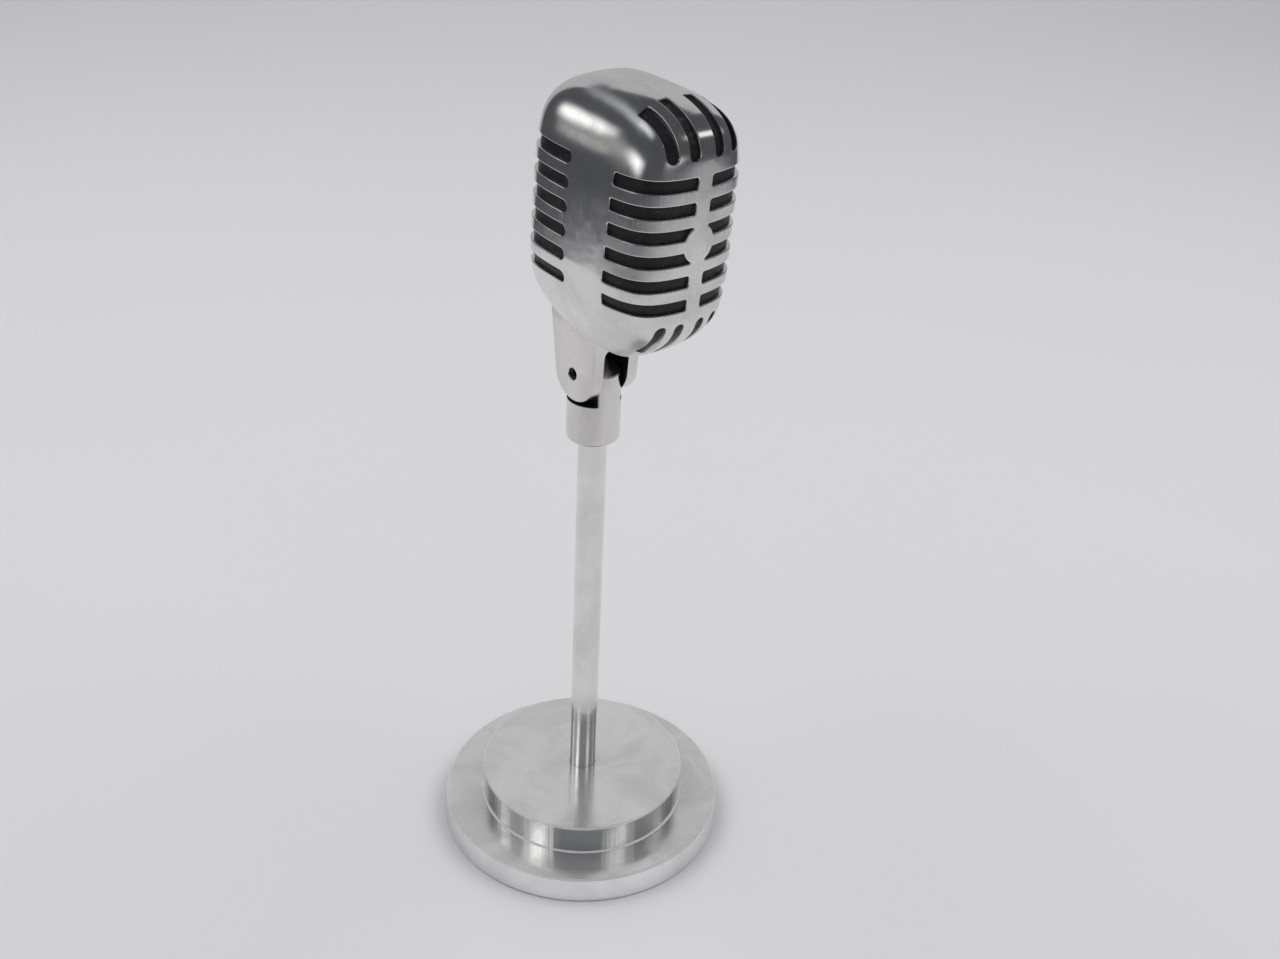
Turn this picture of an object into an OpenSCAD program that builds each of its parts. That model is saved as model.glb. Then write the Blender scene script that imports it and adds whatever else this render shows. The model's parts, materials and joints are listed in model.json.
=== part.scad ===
// Desk microphone: slotted cast head on a forked swivel, round stem and stepped base.
// Origin at the centre of the base's underside, +Z up, the head's front faces -Y.

/* [Stand] */
// Diameter of the base plate at the table
base_d = 122.6; // [118:0.2:128]
// Height of the base plate
base_h = 10.8; // [10.5:0.1:12]
// Diameter of the upper disc
riser_d = 87.8; // [84:0.2:92]
// Height of the upper disc
riser_h = 13.2; // [12.5:0.1:15]
// Diameter of the stem
stem_d = 11.44; // [11:0.02:12]
// Height of the head's pivot above the table
pivot_z = 216.2; // [190:0.2:260]

/* [Swivel] */
// Diameter of the knuckle
knuckle_d = 20.9; // [20:0.1:22]
// Thickness of the knuckle's tongue
tongue_w = 11.3; // [10.5:0.1:11.5]
// Gap between the fork's ears
fork_gap = 12; // [12:0.1:12.2]
// Width over the fork's ears
fork_w = 22.4; // [22:0.1:24]
// Forward tilt of the head at rest, in degrees
head_tilt = 4; // [0:0.5:10]

/* [Head] */
// Width of the head
head_w = 52.6; // [52:0.1:56]
// Depth of the head, front to back
head_d = 65.8; // [64.5:0.1:69]
// Height of the head casing
head_h = 101; // [100:0.5:104]
// Thickness of the casing's wall
wall = 2.2; // [2:0.1:2.4]
// Height of one slot
slot_h = 4.25; // [3.6:0.05:4.6]
// Distance between the rows of slots
slot_pitch = 8.59; // [8.5:0.01:8.7]

/* [Hidden] */

fine = 96;
medium = 48;
small = 32;
eps = 0.01;

aluminium = "#c9cbcd";
polished = "#dfe1e3";
steel = "#8f9296";
dark_steel = "#3b3d40";
black = "#1c1c1e";
brass = "#c3a14e";
copper = "#b4703c";
felt_grey = "#55585a";
board_brown = "#6b4a2c";

// Stand: heights from the table
pad_t = 1;
pad_proud = 0.4;
base_top = base_h;
riser_top = base_top + riser_h;
base_taper = 1.4;
edge_r = 1.3;
stem_r = stem_d / 2;
stem_seat = 6;
spigot_r = 4;
nut_room_r = 13;
nut_room_h = 8.4;
base_screw_r = 2;
base_screw_circle = 30;
base_screw_head_r = 3.5;
base_screw_head_h = 3;

// Swivel: heights measured down from the pivot
ledge_drop = 12.4;
knuckle_drop = 29.7;
bore_drop = 17.6;
thrust_t = 1;
stem_top = pivot_z - bore_drop - thrust_t;
knuckle_r = knuckle_d / 2;
tongue_boss_r = 5.05;
tongue_shoulder = -0.7;
swivel_play = 0.04;
set_screw_drop = 24.2;
groove_w = 3.1;
groove_depth = 0.9;
pin_r = 2.25;
pin_play = 0.05;
pin_recess = 1.6;

// Yoke, in the head's frame: origin on the pivot, Z along the head
ear_r = 10.7;
ear_front = -11.6;
ear_rear = [14.5, 22.6];
fork_top = 12.5;
fork_corner = 2.5;
washer_t = 0.3;
washer_r = 4.6;

// Casing, in its own frame: origin at the head's lowest point, on its middle line
head_base = 11.25;
head_y = -12;
corner_n = 6;
side_crown = 0.037;
front_crown = 0.136;
w_taper = 0.023;
d_taper = -0.062;
dome_p = 2.48;
w_dome_z = 0.651 * head_h;
d_dome_z = 0.827 * head_h;
w_belly = [42.7, 0.714];
d_belly = [28.2, 0.946];
land_z = 8;
seam_y = -6.7;
shell_seg = 60;
inner_seg = 32;
screen_gap = 0.05;
screen_t = 0.8;
lip_t = 1;
lip_l = 2.5;
lip_foot_z = 16;
floor_z = wall + land_z * (head_h - 2 * wall) / head_h;

// Slots, in the casing's frame
rows = 6;
badge_z = 0.549 * head_h;
top_row_z = badge_z + (rows - 1) / 2 * slot_pitch;
low_row_z = badge_z - (rows - 1) / 2 * slot_pitch;
rib_w = 6.4;
front_slot_end = -15.95;
front_end_step = 0.26;
rear_slot_end = 4.7;
badge_r = 6.8;
top_flute_x = [-13.8, -5.5, 5.5, 13.8];
low_flute_x = [-12.3, -4.9, 4.9, 12.3];
flute_w = 4.1;
top_flute_low = top_row_z + 7.5;
top_flute_end = -15;
low_flute_high = low_row_z - 6.9;
low_flute_end = -23;
corner_r = 0.9;
reach = 80;

// Inner parts, in the casing's frame
plate_t = 3;
plate_top = floor_z + plate_t;
plate_r = 11;
plate_half_l = 16.5;
yoke_screw_y = [6, 14];
yoke_screw_z = land_z - 3;
grille_screw_y = -12;
screw_r = 1.5;
screw_head_r = 2.75;
screw_head_h = 2;
hole_play = 0.15;
capsule_z = badge_z;
capsule_r = 19;
capsule_front = -24.5;
pot_r = 17;
magnet_r = 8.75;
coil_r = 10;
grille_t = 1;
clamp_t = 2;
sheet_t = 0.25;
housing_l = 17.35;
housing_floor = 2;
gap_depth = 1.15;
gap_l = 3;
magnet_l = 8.2;
felt_t = 1;
felt_r = 15;
vent_r = 2;
vent_ring_r = 11;
housing_y = capsule_front + grille_t + clamp_t + sheet_t;
capsule_back = housing_y + housing_l;
gap_y = housing_y + gap_depth;
shock_y = -18;
shock_w = 5;
shock_t = 2;
band_t = 1;
strip_w = 12;
strip_t = 2;
foot_l = 9;
foot_t = 1.6;
foot_screw = [4, -9];
trafo_y = 5;
trafo = [22, 11, 18];
trafo_leg = 4;
trafo_centre_leg = 5;
trafo_yoke = 3.5;
trafo_coil_over = 3.5;
strap_t = 1.2;
strap_w = 6;
strap_half_l = 10.3;
strap_foot_w = 14;
trafo_screw = [4, 8.3];
small_head_r = 2.2;
small_head_h = 1.6;
trafo_z = plate_top + strap_t;
board_z = trafo_z + trafo[2] + strap_t;
board = [18, 6, 1.5];
lug_x = [-6, 0, 6];
lug_r = 0.9;
lug_h = 3;
lead_r = 0.6;
lead_z = board_z + board[2] + lug_h - lead_r;

// Cable outlet at the back, along an axis that dips to the rear; depths from its face
outlet_at = [0, 32.2, 22.75];
outlet_dip = 24;
outlet_dir = [0, cos(outlet_dip), -sin(outlet_dip)];
outlet_bore_r = 5.6;
outlet_bore_l = 5.5;
outlet_r = 6.4;
outlet_l = 9;
outlet_flange_r = 7.4;
outlet_flange_t = 1.2;
outlet_boss_r = 8.8;
outlet_boss_l = 4.6;
outlet_nut_t = 2;
insulator_r = 5;
contact_r = 1;
contact_tail = 2;

function dome(z, from_z) =
    z <= from_z ? 1 : pow(max(0, 1 - pow((z - from_z) / (head_h - from_z), dome_p)), 1 / dome_p);
function belly(z, b) = z >= b[0] ? 1 : 1 - b[1] * pow((b[0] - z) / b[0], 2);
function half_w(z) = head_w / 2 * (1 - w_taper * (1 - z / head_h)) * dome(z, w_dome_z) * belly(z, w_belly);
function half_d(z) = head_d / 2 * (1 - d_taper * (1 - z / head_h)) * dome(z, d_dome_z) * belly(z, d_belly);

// Cross-section at unit size: four crowned sides that meet in round corners
function section_sum(x, y) =
    pow(x + side_crown * y * y, corner_n) + pow(y + front_crown * x * x, corner_n);
function section_r(c, s, lo = 0.5, hi = 1.5, left = 24) =
    let (r = (lo + hi) / 2)
    left == 0 ? r
    : section_sum(r * c, r * s) < 1 ? section_r(c, s, r, hi, left - 1)
    : section_r(c, s, lo, r, left - 1);
function section_point(a) = section_r(abs(cos(a)), abs(sin(a))) * [cos(a), sin(a)];
function section(seg) = [for (j = [0 : seg - 1]) let (a = 360 * (j + 0.5) / seg)
    section_point(a + 9 * sin(4 * a))];

// Heights of the rings that carry the belly, the straight middle and the dome
function belly_levels(n) = [for (i = [0 : n]) land_z + (w_belly[0] - land_z) * pow(i / n, 1.2)];
function middle_levels(n) = [for (i = [1 : n]) w_belly[0] + (w_dome_z - w_belly[0]) * i / n];
function dome_levels(n) = [for (i = [1 : n]) w_dome_z + (head_h - w_dome_z) * sin(89 * i / n)];
function casing_levels(n) = concat(belly_levels(n), middle_levels(2), dome_levels(n + 3));

function ring(z, inset, z_inset, unit_ring) =
    let (kx = 1 - 2 * inset / head_w, ky = 1 - 2 * inset / head_d,
         kz = 1 - 2 * z_inset / head_h)
    [for (p = unit_ring) [kx * half_w(z) * p[0], ky * half_d(z) * p[1], z_inset + kz * z]];

// One closed body through all rings: flat below, and flat or pointed above
module loft(levels, seg, inset = 0, z_inset = 0, apex = true) {
    n = len(levels);
    last = (n - 1) * seg;
    unit_ring = section(seg);
    rings = [for (z = levels) each ring(z, inset, z_inset, unit_ring)];
    sides = [for (i = [0 : n - 2], j = [0 : seg - 1])
        let (a = i * seg + j, b = i * seg + (j + 1) % seg)
        each [[a, a + seg, b + seg], [a, b + seg, b]]];
    tip = [for (j = [0 : seg - 1]) [last + j, n * seg, last + (j + 1) % seg]];
    lid = [[for (j = [seg - 1 : -1 : 0]) last + j]];
    polyhedron(
        points = concat(rings, [[0, 0, head_h - z_inset]]),
        faces = concat([[for (j = [0 : seg - 1]) j]], sides, apex ? tip : lid),
        convexity = 6);
}

module outer_body() loft(casing_levels(10), shell_seg);
module inner_body() loft(casing_levels(6), inner_seg, wall, wall);
module screen_body(depth) loft(casing_levels(6), inner_seg, wall + depth, wall + depth - screen_gap);

module in_head() translate([0, 0, pivot_z]) rotate([head_tilt, 0, 0]) children();
module in_casing() in_head() translate([0, head_y, head_base]) children();
module along_y() rotate([-90, 0, 0]) children();
module on_capsule(y) in_casing() translate([0, y, capsule_z]) along_y() children();
module on_outlet() translate(outlet_at) rotate([-90 - outlet_dip, 0, 0]) children();

// Where the tangent from the point p meets a circle of radius r about the origin
function touch_point(p, r, side) =
    let (a = atan2(p[1], p[0]) + side * acos(r / norm(p))) r * [cos(a), sin(a)];

// Solid of revolution from [radius, height] points
module turned(points, fn = fine) rotate_extrude($fn = fn) polygon(points);

module tube(r_out, r_in, h, fn = medium) difference() {
    cylinder(r = r_out, h = h, $fn = fn);
    translate([0, 0, -1]) cylinder(r = r_in, h = h + 2, $fn = fn);
}

// Screw with its head below, pointing up; the head stands on z = 0 downwards
module cheese_screw(r, l, head_r, head_h) difference() {
    union() {
        cylinder(r = r, h = l, $fn = small);
        translate([0, 0, -head_h]) cylinder(r = head_r, h = head_h, $fn = small);
    }
    translate([-head_r, -0.4, -head_h - eps]) cube([2 * head_r, 0.8, 0.9]);
}

module hex(af, h) cylinder(r = af / sqrt(3), h = h, $fn = 6);

// Points of a rounded upper edge, from the side to the top
function quarter(r, z, rad) = [for (a = [0 : 15 : 90]) [r - rad + rad * cos(a), z - rad + rad * sin(a)]];

module base_pad() {
    color(felt_grey) cylinder(r = base_d / 2 - 5, h = pad_t, $fn = fine);
}

module base_plate() {
    r_low = base_d / 2;
    r_top = r_low - base_taper;
    color(aluminium) difference() {
        turned(concat([[0, pad_proud], [r_low, pad_proud]], quarter(r_top, base_top, edge_r), [[0, base_top]]));
        translate([0, 0, -1]) cylinder(r = r_low - 4.9, h = 1 + pad_t, $fn = fine);
        cylinder(r = nut_room_r, h = nut_room_h, $fn = medium);
        cylinder(r = spigot_r + 0.2, h = base_top + 1, $fn = medium);
        base_screw_places() {
            cylinder(r = base_screw_r + hole_play, h = base_top + 1, $fn = small);
            cylinder(r = base_screw_head_r + 0.4, h = pad_t + 0.3 + base_screw_head_h, $fn = small);
        }
    }
}

module base_screw_places() for (a = [90, 210, 330])
    rotate([0, 0, a]) translate([base_screw_circle, 0, 0]) children();

module base_riser() {
    r = riser_d / 2;
    foot = 0.4;
    color(polished) difference() {
        turned(concat([[0, base_top], [r - foot, base_top], [r, base_top + foot]],
                      quarter(r, riser_top, edge_r), [[0, riser_top]]));
        translate([0, 0, base_top - 1]) cylinder(r = spigot_r + 0.2, h = riser_h + 2, $fn = medium);
        translate([0, 0, riser_top - stem_seat]) cylinder(r = stem_r + 0.02, h = stem_seat + 1, $fn = medium);
        base_screw_places() translate([0, 0, base_top - 1]) cylinder(r = base_screw_r, h = 9, $fn = small);
    }
}

module base_screws() {
    head_z = pad_t + 0.3 + base_screw_head_h;
    color(dark_steel) base_screw_places() translate([0, 0, head_z])
        cheese_screw(base_screw_r, base_top + 7 - head_z, base_screw_head_r, base_screw_head_h);
}

module stem() {
    seat_z = riser_top - stem_seat;
    groove_z = pivot_z - set_screw_drop;
    groove_r = stem_r - groove_depth;
    color(aluminium) turned([
        [0, 3], [spigot_r, 3], [spigot_r, seat_z], [stem_r, seat_z],
        [stem_r, groove_z - groove_w / 2], [groove_r, groove_z - groove_w / 2],
        [groove_r, groove_z + groove_w / 2], [stem_r, groove_z + groove_w / 2],
        [stem_r, stem_top], [0, stem_top]
    ]);
}

module stem_washer() {
    color(steel) translate([0, 0, nut_room_h - 1.5]) tube(10, spigot_r + 0.3, 1.5);
}

module stem_nut() {
    color(steel) translate([0, 0, nut_room_h - 1.5 - 4]) difference() {
        hex(13, 4);
        translate([0, 0, -1]) cylinder(r = spigot_r, h = 6, $fn = fine);
    }
}

module thrust_washer() {
    color(board_brown) translate([0, 0, stem_top]) cylinder(r = stem_r - 0.5, h = thrust_t, $fn = medium);
}

// Side outline of the tongue, in [y, z] from the pivot: shoulders with tangents to a round boss
module tongue_outline() {
    shoulder = [knuckle_r, tongue_shoulder];
    touch = touch_point(shoulder, tongue_boss_r, 1);
    polygon([[-knuckle_r, -knuckle_drop], [knuckle_r, -knuckle_drop], shoulder, touch,
             [-touch[0], touch[1]], [-shoulder[0], shoulder[1]]]);
    circle(r = tongue_boss_r, $fn = medium);
}

module knuckle() {
    foot_r = 1.6;
    foot = [for (a = [-90 : 15 : 0]) [knuckle_r - foot_r + foot_r * cos(a), foot_r + foot_r * sin(a)]];
    color(aluminium) translate([0, 0, pivot_z]) difference() {
        intersection() {
            translate([0, 0, -knuckle_drop])
                turned(concat([[0, 0]], foot, [[knuckle_r, knuckle_drop + 10], [0, knuckle_drop + 10]]));
            rotate([90, 0, 90]) translate([0, 0, -knuckle_r]) linear_extrude(2 * knuckle_r) tongue_outline();
        }
        for (s = [0, 1]) mirror([s, 0, 0]) translate([tongue_w / 2, -reach / 2, -ledge_drop]) cube(reach);
        translate([0, 0, -knuckle_drop - 1])
            cylinder(r = stem_r + swivel_play, h = knuckle_drop - bore_drop + 1, $fn = medium);
        rotate([0, 90, 0]) cylinder(r = pin_r + pin_play, h = 2 * knuckle_r, center = true, $fn = medium);
        translate([0, stem_r - 1, -set_screw_drop]) along_y() cylinder(r = 2, h = knuckle_r, $fn = small);
    }
}

module knuckle_set_screw() {
    tip = stem_r - groove_depth + 0.1;
    head = knuckle_r - 0.5;
    color(dark_steel) translate([0, 0, pivot_z - set_screw_drop]) along_y() difference() {
        union() {
            translate([0, 0, tip]) cylinder(r = groove_w / 2 - 0.05, h = head - tip, $fn = small);
            translate([0, 0, stem_r + 0.1]) cylinder(r = 2, h = head - stem_r - 0.1, $fn = small);
        }
        translate([0, 0, head - 2]) hex(2, 3);
    }
}

// Side outline of an ear, in [y, z] from the pivot
module ear_outline() {
    centre = [ear_front + ear_r, 0];
    top = head_base + land_z + 14;
    translate(centre) circle(r = ear_r, $fn = medium);
    polygon([[ear_front, 0], centre + touch_point(ear_rear - centre, ear_r, -1), ear_rear,
             [ear_rear[0], top], [ear_front, top]]);
}

module yoke() {
    color(aluminium) in_head() difference() {
        rotate([90, 0, 90]) translate([0, 0, -fork_w / 2]) linear_extrude(fork_w) ear_outline();
        fork_slot();
        rotate([0, 90, 0]) cylinder(r = pin_r, h = fork_w + 2, center = true, $fn = medium);
        translate([0, head_y, head_base]) {
            loft(belly_levels(10), shell_seg, apex = false);
            for (y = yoke_screw_y) translate([0, y, yoke_screw_z]) {
                cylinder(r = screw_r + hole_play, h = reach, $fn = small);
                translate([0, 0, -reach]) cylinder(r = screw_head_r + 0.2, h = reach, $fn = small);
            }
        }
    }
}

module fork_slot() {
    half = fork_gap / 2;
    r = fork_corner;
    rotate([90, 0, 0]) translate([0, 0, -reach]) linear_extrude(2 * reach) {
        translate([-half, -reach]) square([fork_gap, reach + fork_top - r]);
        translate([-half + r, 0]) square([fork_gap - 2 * r, fork_top]);
        for (s = [-1, 1]) translate([s * (half - r), fork_top - r]) circle(r = r, $fn = medium);
    }
}

module pivot_pin() {
    l = fork_w - 2 * pin_recess;
    color(dark_steel) in_head() rotate([0, 90, 0]) difference() {
        cylinder(r = pin_r, h = l, center = true, $fn = medium);
        for (s = [-1, 1]) translate([0, 0, s * (l / 2 - 0.5) - 0.75]) hex(2.5, 1.5);
    }
}

module friction_washers() {
    color(brass) in_head() for (s = [-1, 1])
        translate([s * (fork_gap - washer_t) / 2, 0, 0]) rotate([0, 90, 0])
            translate([0, 0, -washer_t / 2]) tube(washer_r, pin_r + 0.1, washer_t);
}

module yoke_screws() {
    color(steel) in_casing() for (y = yoke_screw_y) translate([0, y, yoke_screw_z])
        cheese_screw(screw_r, plate_top - 0.1 - yoke_screw_z, screw_head_r, screw_head_h);
}

// End view of a slot: it starts at u = 0 with round corners and runs on along u
module slot_start(r) {
    translate([r, 0]) square([reach, slot_h]);
    translate([0, r]) square([reach, slot_h - 2 * r]);
    for (v = [r, slot_h - r]) translate([r, v]) circle(r = r, $fn = small);
}

// A slot wraps round one corner: it starts beside the middle rib and ends on the side wall
module corner_slot(end_y, r) intersection() {
    translate([rib_w / 2, reach, 0]) rotate([90, 0, 0]) linear_extrude(2 * reach) slot_start(r);
    translate([0, end_y, 0]) rotate([90, 0, 90]) linear_extrude(reach) slot_start(r);
}

// Six rows of slots on both sides; dir is -1 for the front shell and 1 for the rear one
module slot_rows(dir, end_y, end_step, r)
    for (i = [0 : rows - 1], side = [0, 1])
        translate([0, 0, top_row_z - i * slot_pitch - slot_h / 2])
            mirror([side, 0, 0]) mirror([0, dir < 0 ? 1 : 0, 0]) corner_slot(dir * (end_y + i * end_step), r);

// Upright slots over the front's upper and lower edges
module flutes() {
    for (x = top_flute_x) translate([x, top_flute_end, top_flute_low + flute_w / 2]) flute();
    for (x = low_flute_x) translate([x, low_flute_end, low_flute_high - flute_w / 2])
        mirror([0, 0, 1]) flute();
}

module flute() rotate([90, 0, 0]) linear_extrude(reach) {
    circle(d = flute_w, $fn = small);
    translate([-flute_w / 2, 0]) square([flute_w, reach]);
}

// All space behind the plane y, or before it
module behind(y) translate([-reach, y, -reach]) cube([2 * reach, reach, 3 * reach]);
module before(y) translate([-reach, y - reach, -reach]) cube([2 * reach, reach, 3 * reach]);

module front_shell() {
    color(polished) in_casing() difference() {
        intersection() {
            outer_body();
            before(seam_y);
        }
        inner_body();
        difference() {
            slot_rows(-1, front_slot_end, front_end_step, corner_r);
            translate([0, -reach, badge_z]) along_y() cylinder(r = badge_r, h = reach, $fn = medium);
        }
        flutes();
        floor_hole(grille_screw_y);
    }
}

module floor_hole(y) translate([0, y, 0]) cylinder(r = screw_r + hole_play, h = plate_top, $fn = small);

module rear_shell() {
    color(polished) in_casing() difference() {
        intersection() {
            outer_body();
            behind(seam_y - lip_l);
        }
        difference() {
            before(seam_y);
            intersection() {
                inner_body();
                above_lip_foot();
            }
        }
        difference() {
            inner_body();
            seam_lip();
            on_outlet() translate([0, 0, -outlet_boss_l])
                cylinder(r = outlet_boss_r, h = outlet_boss_l + 5, $fn = medium);
        }
        slot_rows(1, rear_slot_end, 0, slot_h / 2 - eps);
        for (y = yoke_screw_y) floor_hole(y);
        on_outlet() {
            translate([0, 0, -outlet_flange_t]) cylinder(r = outlet_flange_r + 0.1, h = reach, $fn = medium);
            translate([0, 0, -outlet_l]) cylinder(r = outlet_r, h = reach, $fn = medium);
        }
    }
}

// Rim inside the seam that lines up the two shells
module seam_lip() difference() {
    intersection() {
        above_lip_foot();
        behind(seam_y - lip_l);
        before(seam_y + lip_l);
    }
    loft(casing_levels(6), inner_seg, wall + lip_t, wall + lip_t);
}

module above_lip_foot() translate([-reach, -reach, lip_foot_z]) cube(2 * reach);

module screen() difference() {
    screen_body(screen_gap);
    screen_body(screen_gap + screen_t);
    linear_extrude(plate_top) plate_outline(0.3);
}

module front_screen() {
    color(black) in_casing() intersection() {
        screen();
        before(seam_y - lip_l - 0.2);
    }
}

module rear_screen() {
    color(black) in_casing() difference() {
        intersection() {
            screen();
            behind(seam_y + lip_l + 0.2);
        }
        on_outlet() translate([0, 0, -15]) cylinder(r = outlet_boss_r + 1, h = 20, $fn = medium);
    }
}

module grille_screw() {
    color(steel) in_casing() translate([0, grille_screw_y, land_z])
        cheese_screw(screw_r, plate_top - 0.1 - land_z, screw_head_r, screw_head_h);
}

module plate_outline(grow = 0) {
    half = plate_half_l - plate_r;
    for (s = [-1, 1]) translate([0, s * half]) circle(r = plate_r + grow, $fn = medium);
    square([2 * (plate_r + grow), 2 * half], center = true);
}

module screw_hole(x, y) translate([x, y, floor_z - 1]) cylinder(r = screw_r, h = plate_t + 5, $fn = small);

module chassis_plate() {
    color(steel) in_casing() difference() {
        translate([0, 0, floor_z]) linear_extrude(plate_t) plate_outline();
        for (y = concat(yoke_screw_y, [grille_screw_y])) screw_hole(0, y);
        for (s = [-1, 1]) {
            screw_hole(s * foot_screw[0], foot_screw[1]);
            screw_hole(s * trafo_screw[0], trafo_y + s * trafo_screw[1]);
        }
    }
}

module capsule_bracket() {
    band_r = capsule_r + shock_t + band_t;
    strip_y = shock_y + shock_w - strip_t;
    color(steel) in_casing() difference() {
        union() {
            translate([0, shock_y, capsule_z]) along_y() cylinder(r = band_r, h = shock_w, $fn = fine);
            translate([-strip_w / 2, strip_y, plate_top]) {
                cube([strip_w, strip_t, capsule_z - capsule_r - plate_top]);
                cube([strip_w, foot_l, foot_t]);
            }
        }
        translate([0, shock_y - 1, capsule_z]) along_y()
            cylinder(r = band_r - band_t, h = shock_w + 2, $fn = fine);
        for (s = [-1, 1]) screw_hole(s * foot_screw[0], foot_screw[1]);
    }
}

// Small screw into the chassis plate, its head on top at height z
module plate_screw(x, y, z) translate([x, y, z]) mirror([0, 0, 1])
    cheese_screw(screw_r, z - floor_z - 0.2, small_head_r, small_head_h);

module bracket_screws() {
    color(steel) in_casing() for (s = [-1, 1])
        plate_screw(s * foot_screw[0], foot_screw[1], plate_top + foot_t);
}

module shock_ring() {
    color(black) on_capsule(shock_y) tube(capsule_r + shock_t, capsule_r, shock_w, fine);
}

module capsule_grille() {
    color(steel) on_capsule(capsule_front) difference() {
        cylinder(r = capsule_r, h = grille_t, $fn = fine);
        for (n = [0 : 3], k = [0 : max(0, 6 * n - 1)])
            rotate([0, 0, 60 * k / max(1, n)]) translate([5 * n, 0, -1]) cylinder(r = 1.3, h = 3, $fn = small);
    }
}

module clamp_ring() {
    color(brass) on_capsule(capsule_front + grille_t) tube(capsule_r, pot_r, clamp_t, fine);
}

// Thin sheet with a shallow dome inside the voice coil
module diaphragm() {
    rise = 1.4;
    dome_r = (coil_r * coil_r + rise * rise) / (2 * rise);
    sweep = asin(coil_r / dome_r);
    rim = capsule_r - 0.3;
    under = [for (i = [0 : 8]) let (a = sweep * i / 8) [dome_r * sin(a), rise - dome_r * (1 - cos(a))]];
    over = [for (i = [8 : -1 : 0]) under[i] + [0, sheet_t]];
    color("#b9bec4") on_capsule(housing_y) mirror([0, 0, 1])
        turned(concat(under, [[rim, 0], [rim, sheet_t]], over));
}

module capsule_housing() {
    color(aluminium) on_capsule(housing_y) difference() {
        cylinder(r = capsule_r, h = housing_l, $fn = fine);
        translate([0, 0, -1]) cylinder(r = pot_r, h = housing_l - housing_floor + 1, $fn = fine);
        for (k = [0 : 3]) rotate([0, 0, 45 + 90 * k]) translate([vent_ring_r, 0, 0])
            cylinder(r = vent_r, h = housing_l + 1, $fn = small);
    }
}

module capsule_felt() {
    color(felt_grey) on_capsule(housing_y + housing_l) cylinder(r = felt_r, h = felt_t, $fn = medium);
}

module top_plate() {
    color(steel) on_capsule(gap_y) tube(pot_r, coil_r + 0.9, gap_l, fine);
}

module pole_piece() {
    color(steel) on_capsule(gap_y) cylinder(r = coil_r - 0.7, h = gap_l, $fn = medium);
}

module magnet() {
    color("#6d7075") on_capsule(gap_y + gap_l) cylinder(r = magnet_r, h = magnet_l, $fn = medium);
}

module magnet_pot() {
    color(steel) on_capsule(gap_y + gap_l) difference() {
        cylinder(r = pot_r, h = magnet_l + gap_l, $fn = fine);
        translate([0, 0, -1]) cylinder(r = 14, h = magnet_l + 1, $fn = fine);
    }
}

// Winding on a thin former that hangs in the gap round the pole piece
module voice_coil() {
    color(copper) on_capsule(housing_y) {
        tube(coil_r, coil_r - 0.25, gap_depth + gap_l + 1);
        translate([0, 0, gap_depth + 0.1]) tube(coil_r + 0.4, coil_r - 0.1, gap_l - 0.2);
    }
}

module transformer_core() {
    window = [trafo[0] / 2 - trafo_leg - trafo_centre_leg / 2, trafo[2] - 2 * trafo_yoke];
    color(dark_steel) in_casing() translate([0, trafo_y + trafo[1] / 2, trafo_z + trafo[2] / 2])
        rotate([90, 0, 0]) linear_extrude(trafo[1]) difference() {
            square([trafo[0], trafo[2]], center = true);
            for (s = [-1, 1]) translate([s * (trafo_centre_leg + window[0]) / 2, 0]) square(window, center = true);
        }
}

module transformer_coil() {
    play = 0.1;
    size = [trafo[0] - 2 * (trafo_leg + play), trafo[1] + 2 * trafo_coil_over,
            trafo[2] - 2 * (trafo_yoke + play)];
    color(copper) in_casing() translate([0, trafo_y, trafo_z + trafo[2] / 2]) difference() {
        cube(size, center = true);
        cube([trafo_centre_leg + 2 * play, trafo[1] + 2 * play, trafo[2]], center = true);
    }
}

module transformer_strap() {
    outer = [trafo[0] + 2 * strap_t, trafo[2] + 2 * strap_t];
    color(steel) in_casing() difference() {
        union() {
            translate([0, trafo_y + strap_w / 2, trafo_z + trafo[2] / 2]) rotate([90, 0, 0])
                linear_extrude(strap_w) square(outer, center = true);
            intersection() {
                translate([0, 0, plate_top]) linear_extrude(strap_t) plate_outline();
                translate([-strap_foot_w / 2, trafo_y - strap_half_l, plate_top - 1])
                    cube([strap_foot_w, 2 * strap_half_l, 5]);
            }
        }
        translate([-trafo[0] / 2, trafo_y - trafo[1], trafo_z]) cube([trafo[0], 2 * trafo[1], trafo[2]]);
        for (s = [-1, 1]) screw_hole(s * trafo_screw[0], trafo_y + s * trafo_screw[1]);
    }
}

module transformer_screws() {
    color(steel) in_casing() for (s = [-1, 1])
        plate_screw(s * trafo_screw[0], trafo_y + s * trafo_screw[1], trafo_z);
}

module terminal_board() {
    color(board_brown) in_casing() translate([-board[0] / 2, trafo_y - board[1] / 2, board_z]) cube(board);
}

module terminal_lugs() {
    color(brass) in_casing() for (x = lug_x) translate([x, trafo_y, board_z + board[2]]) {
        cylinder(r = lug_r, h = lug_h, $fn = small);
        cylinder(r = lug_r + 0.5, h = 0.6, $fn = small);
    }
}

// Straight insulated wire between two points
module lead(from, to) {
    v = to - from;
    l = norm(v);
    translate(from) rotate([0, acos(v[2] / l), atan2(v[1], v[0])]) cylinder(r = lead_r, h = l, $fn = small);
}

module capsule_leads() {
    color(copper) in_casing() for (s = [-1, 1])
        lead([s * 3, capsule_back + 0.25, capsule_z - 17], [s * 5.8, trafo_y - lug_r - 0.3, lead_z]);
}

module outlet_leads() {
    start_y = trafo_y + lug_r + 0.45;
    behind_face = outlet_l + 0.2;
    color(copper) in_casing() {
        lead([0, start_y, lead_z], outlet_at - outlet_dir * (behind_face + contact_tail));
        lead([6, start_y, lead_z], outlet_at - outlet_dir * behind_face + [(insulator_r + outlet_r) / 2, 0, 0]);
    }
}

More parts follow.
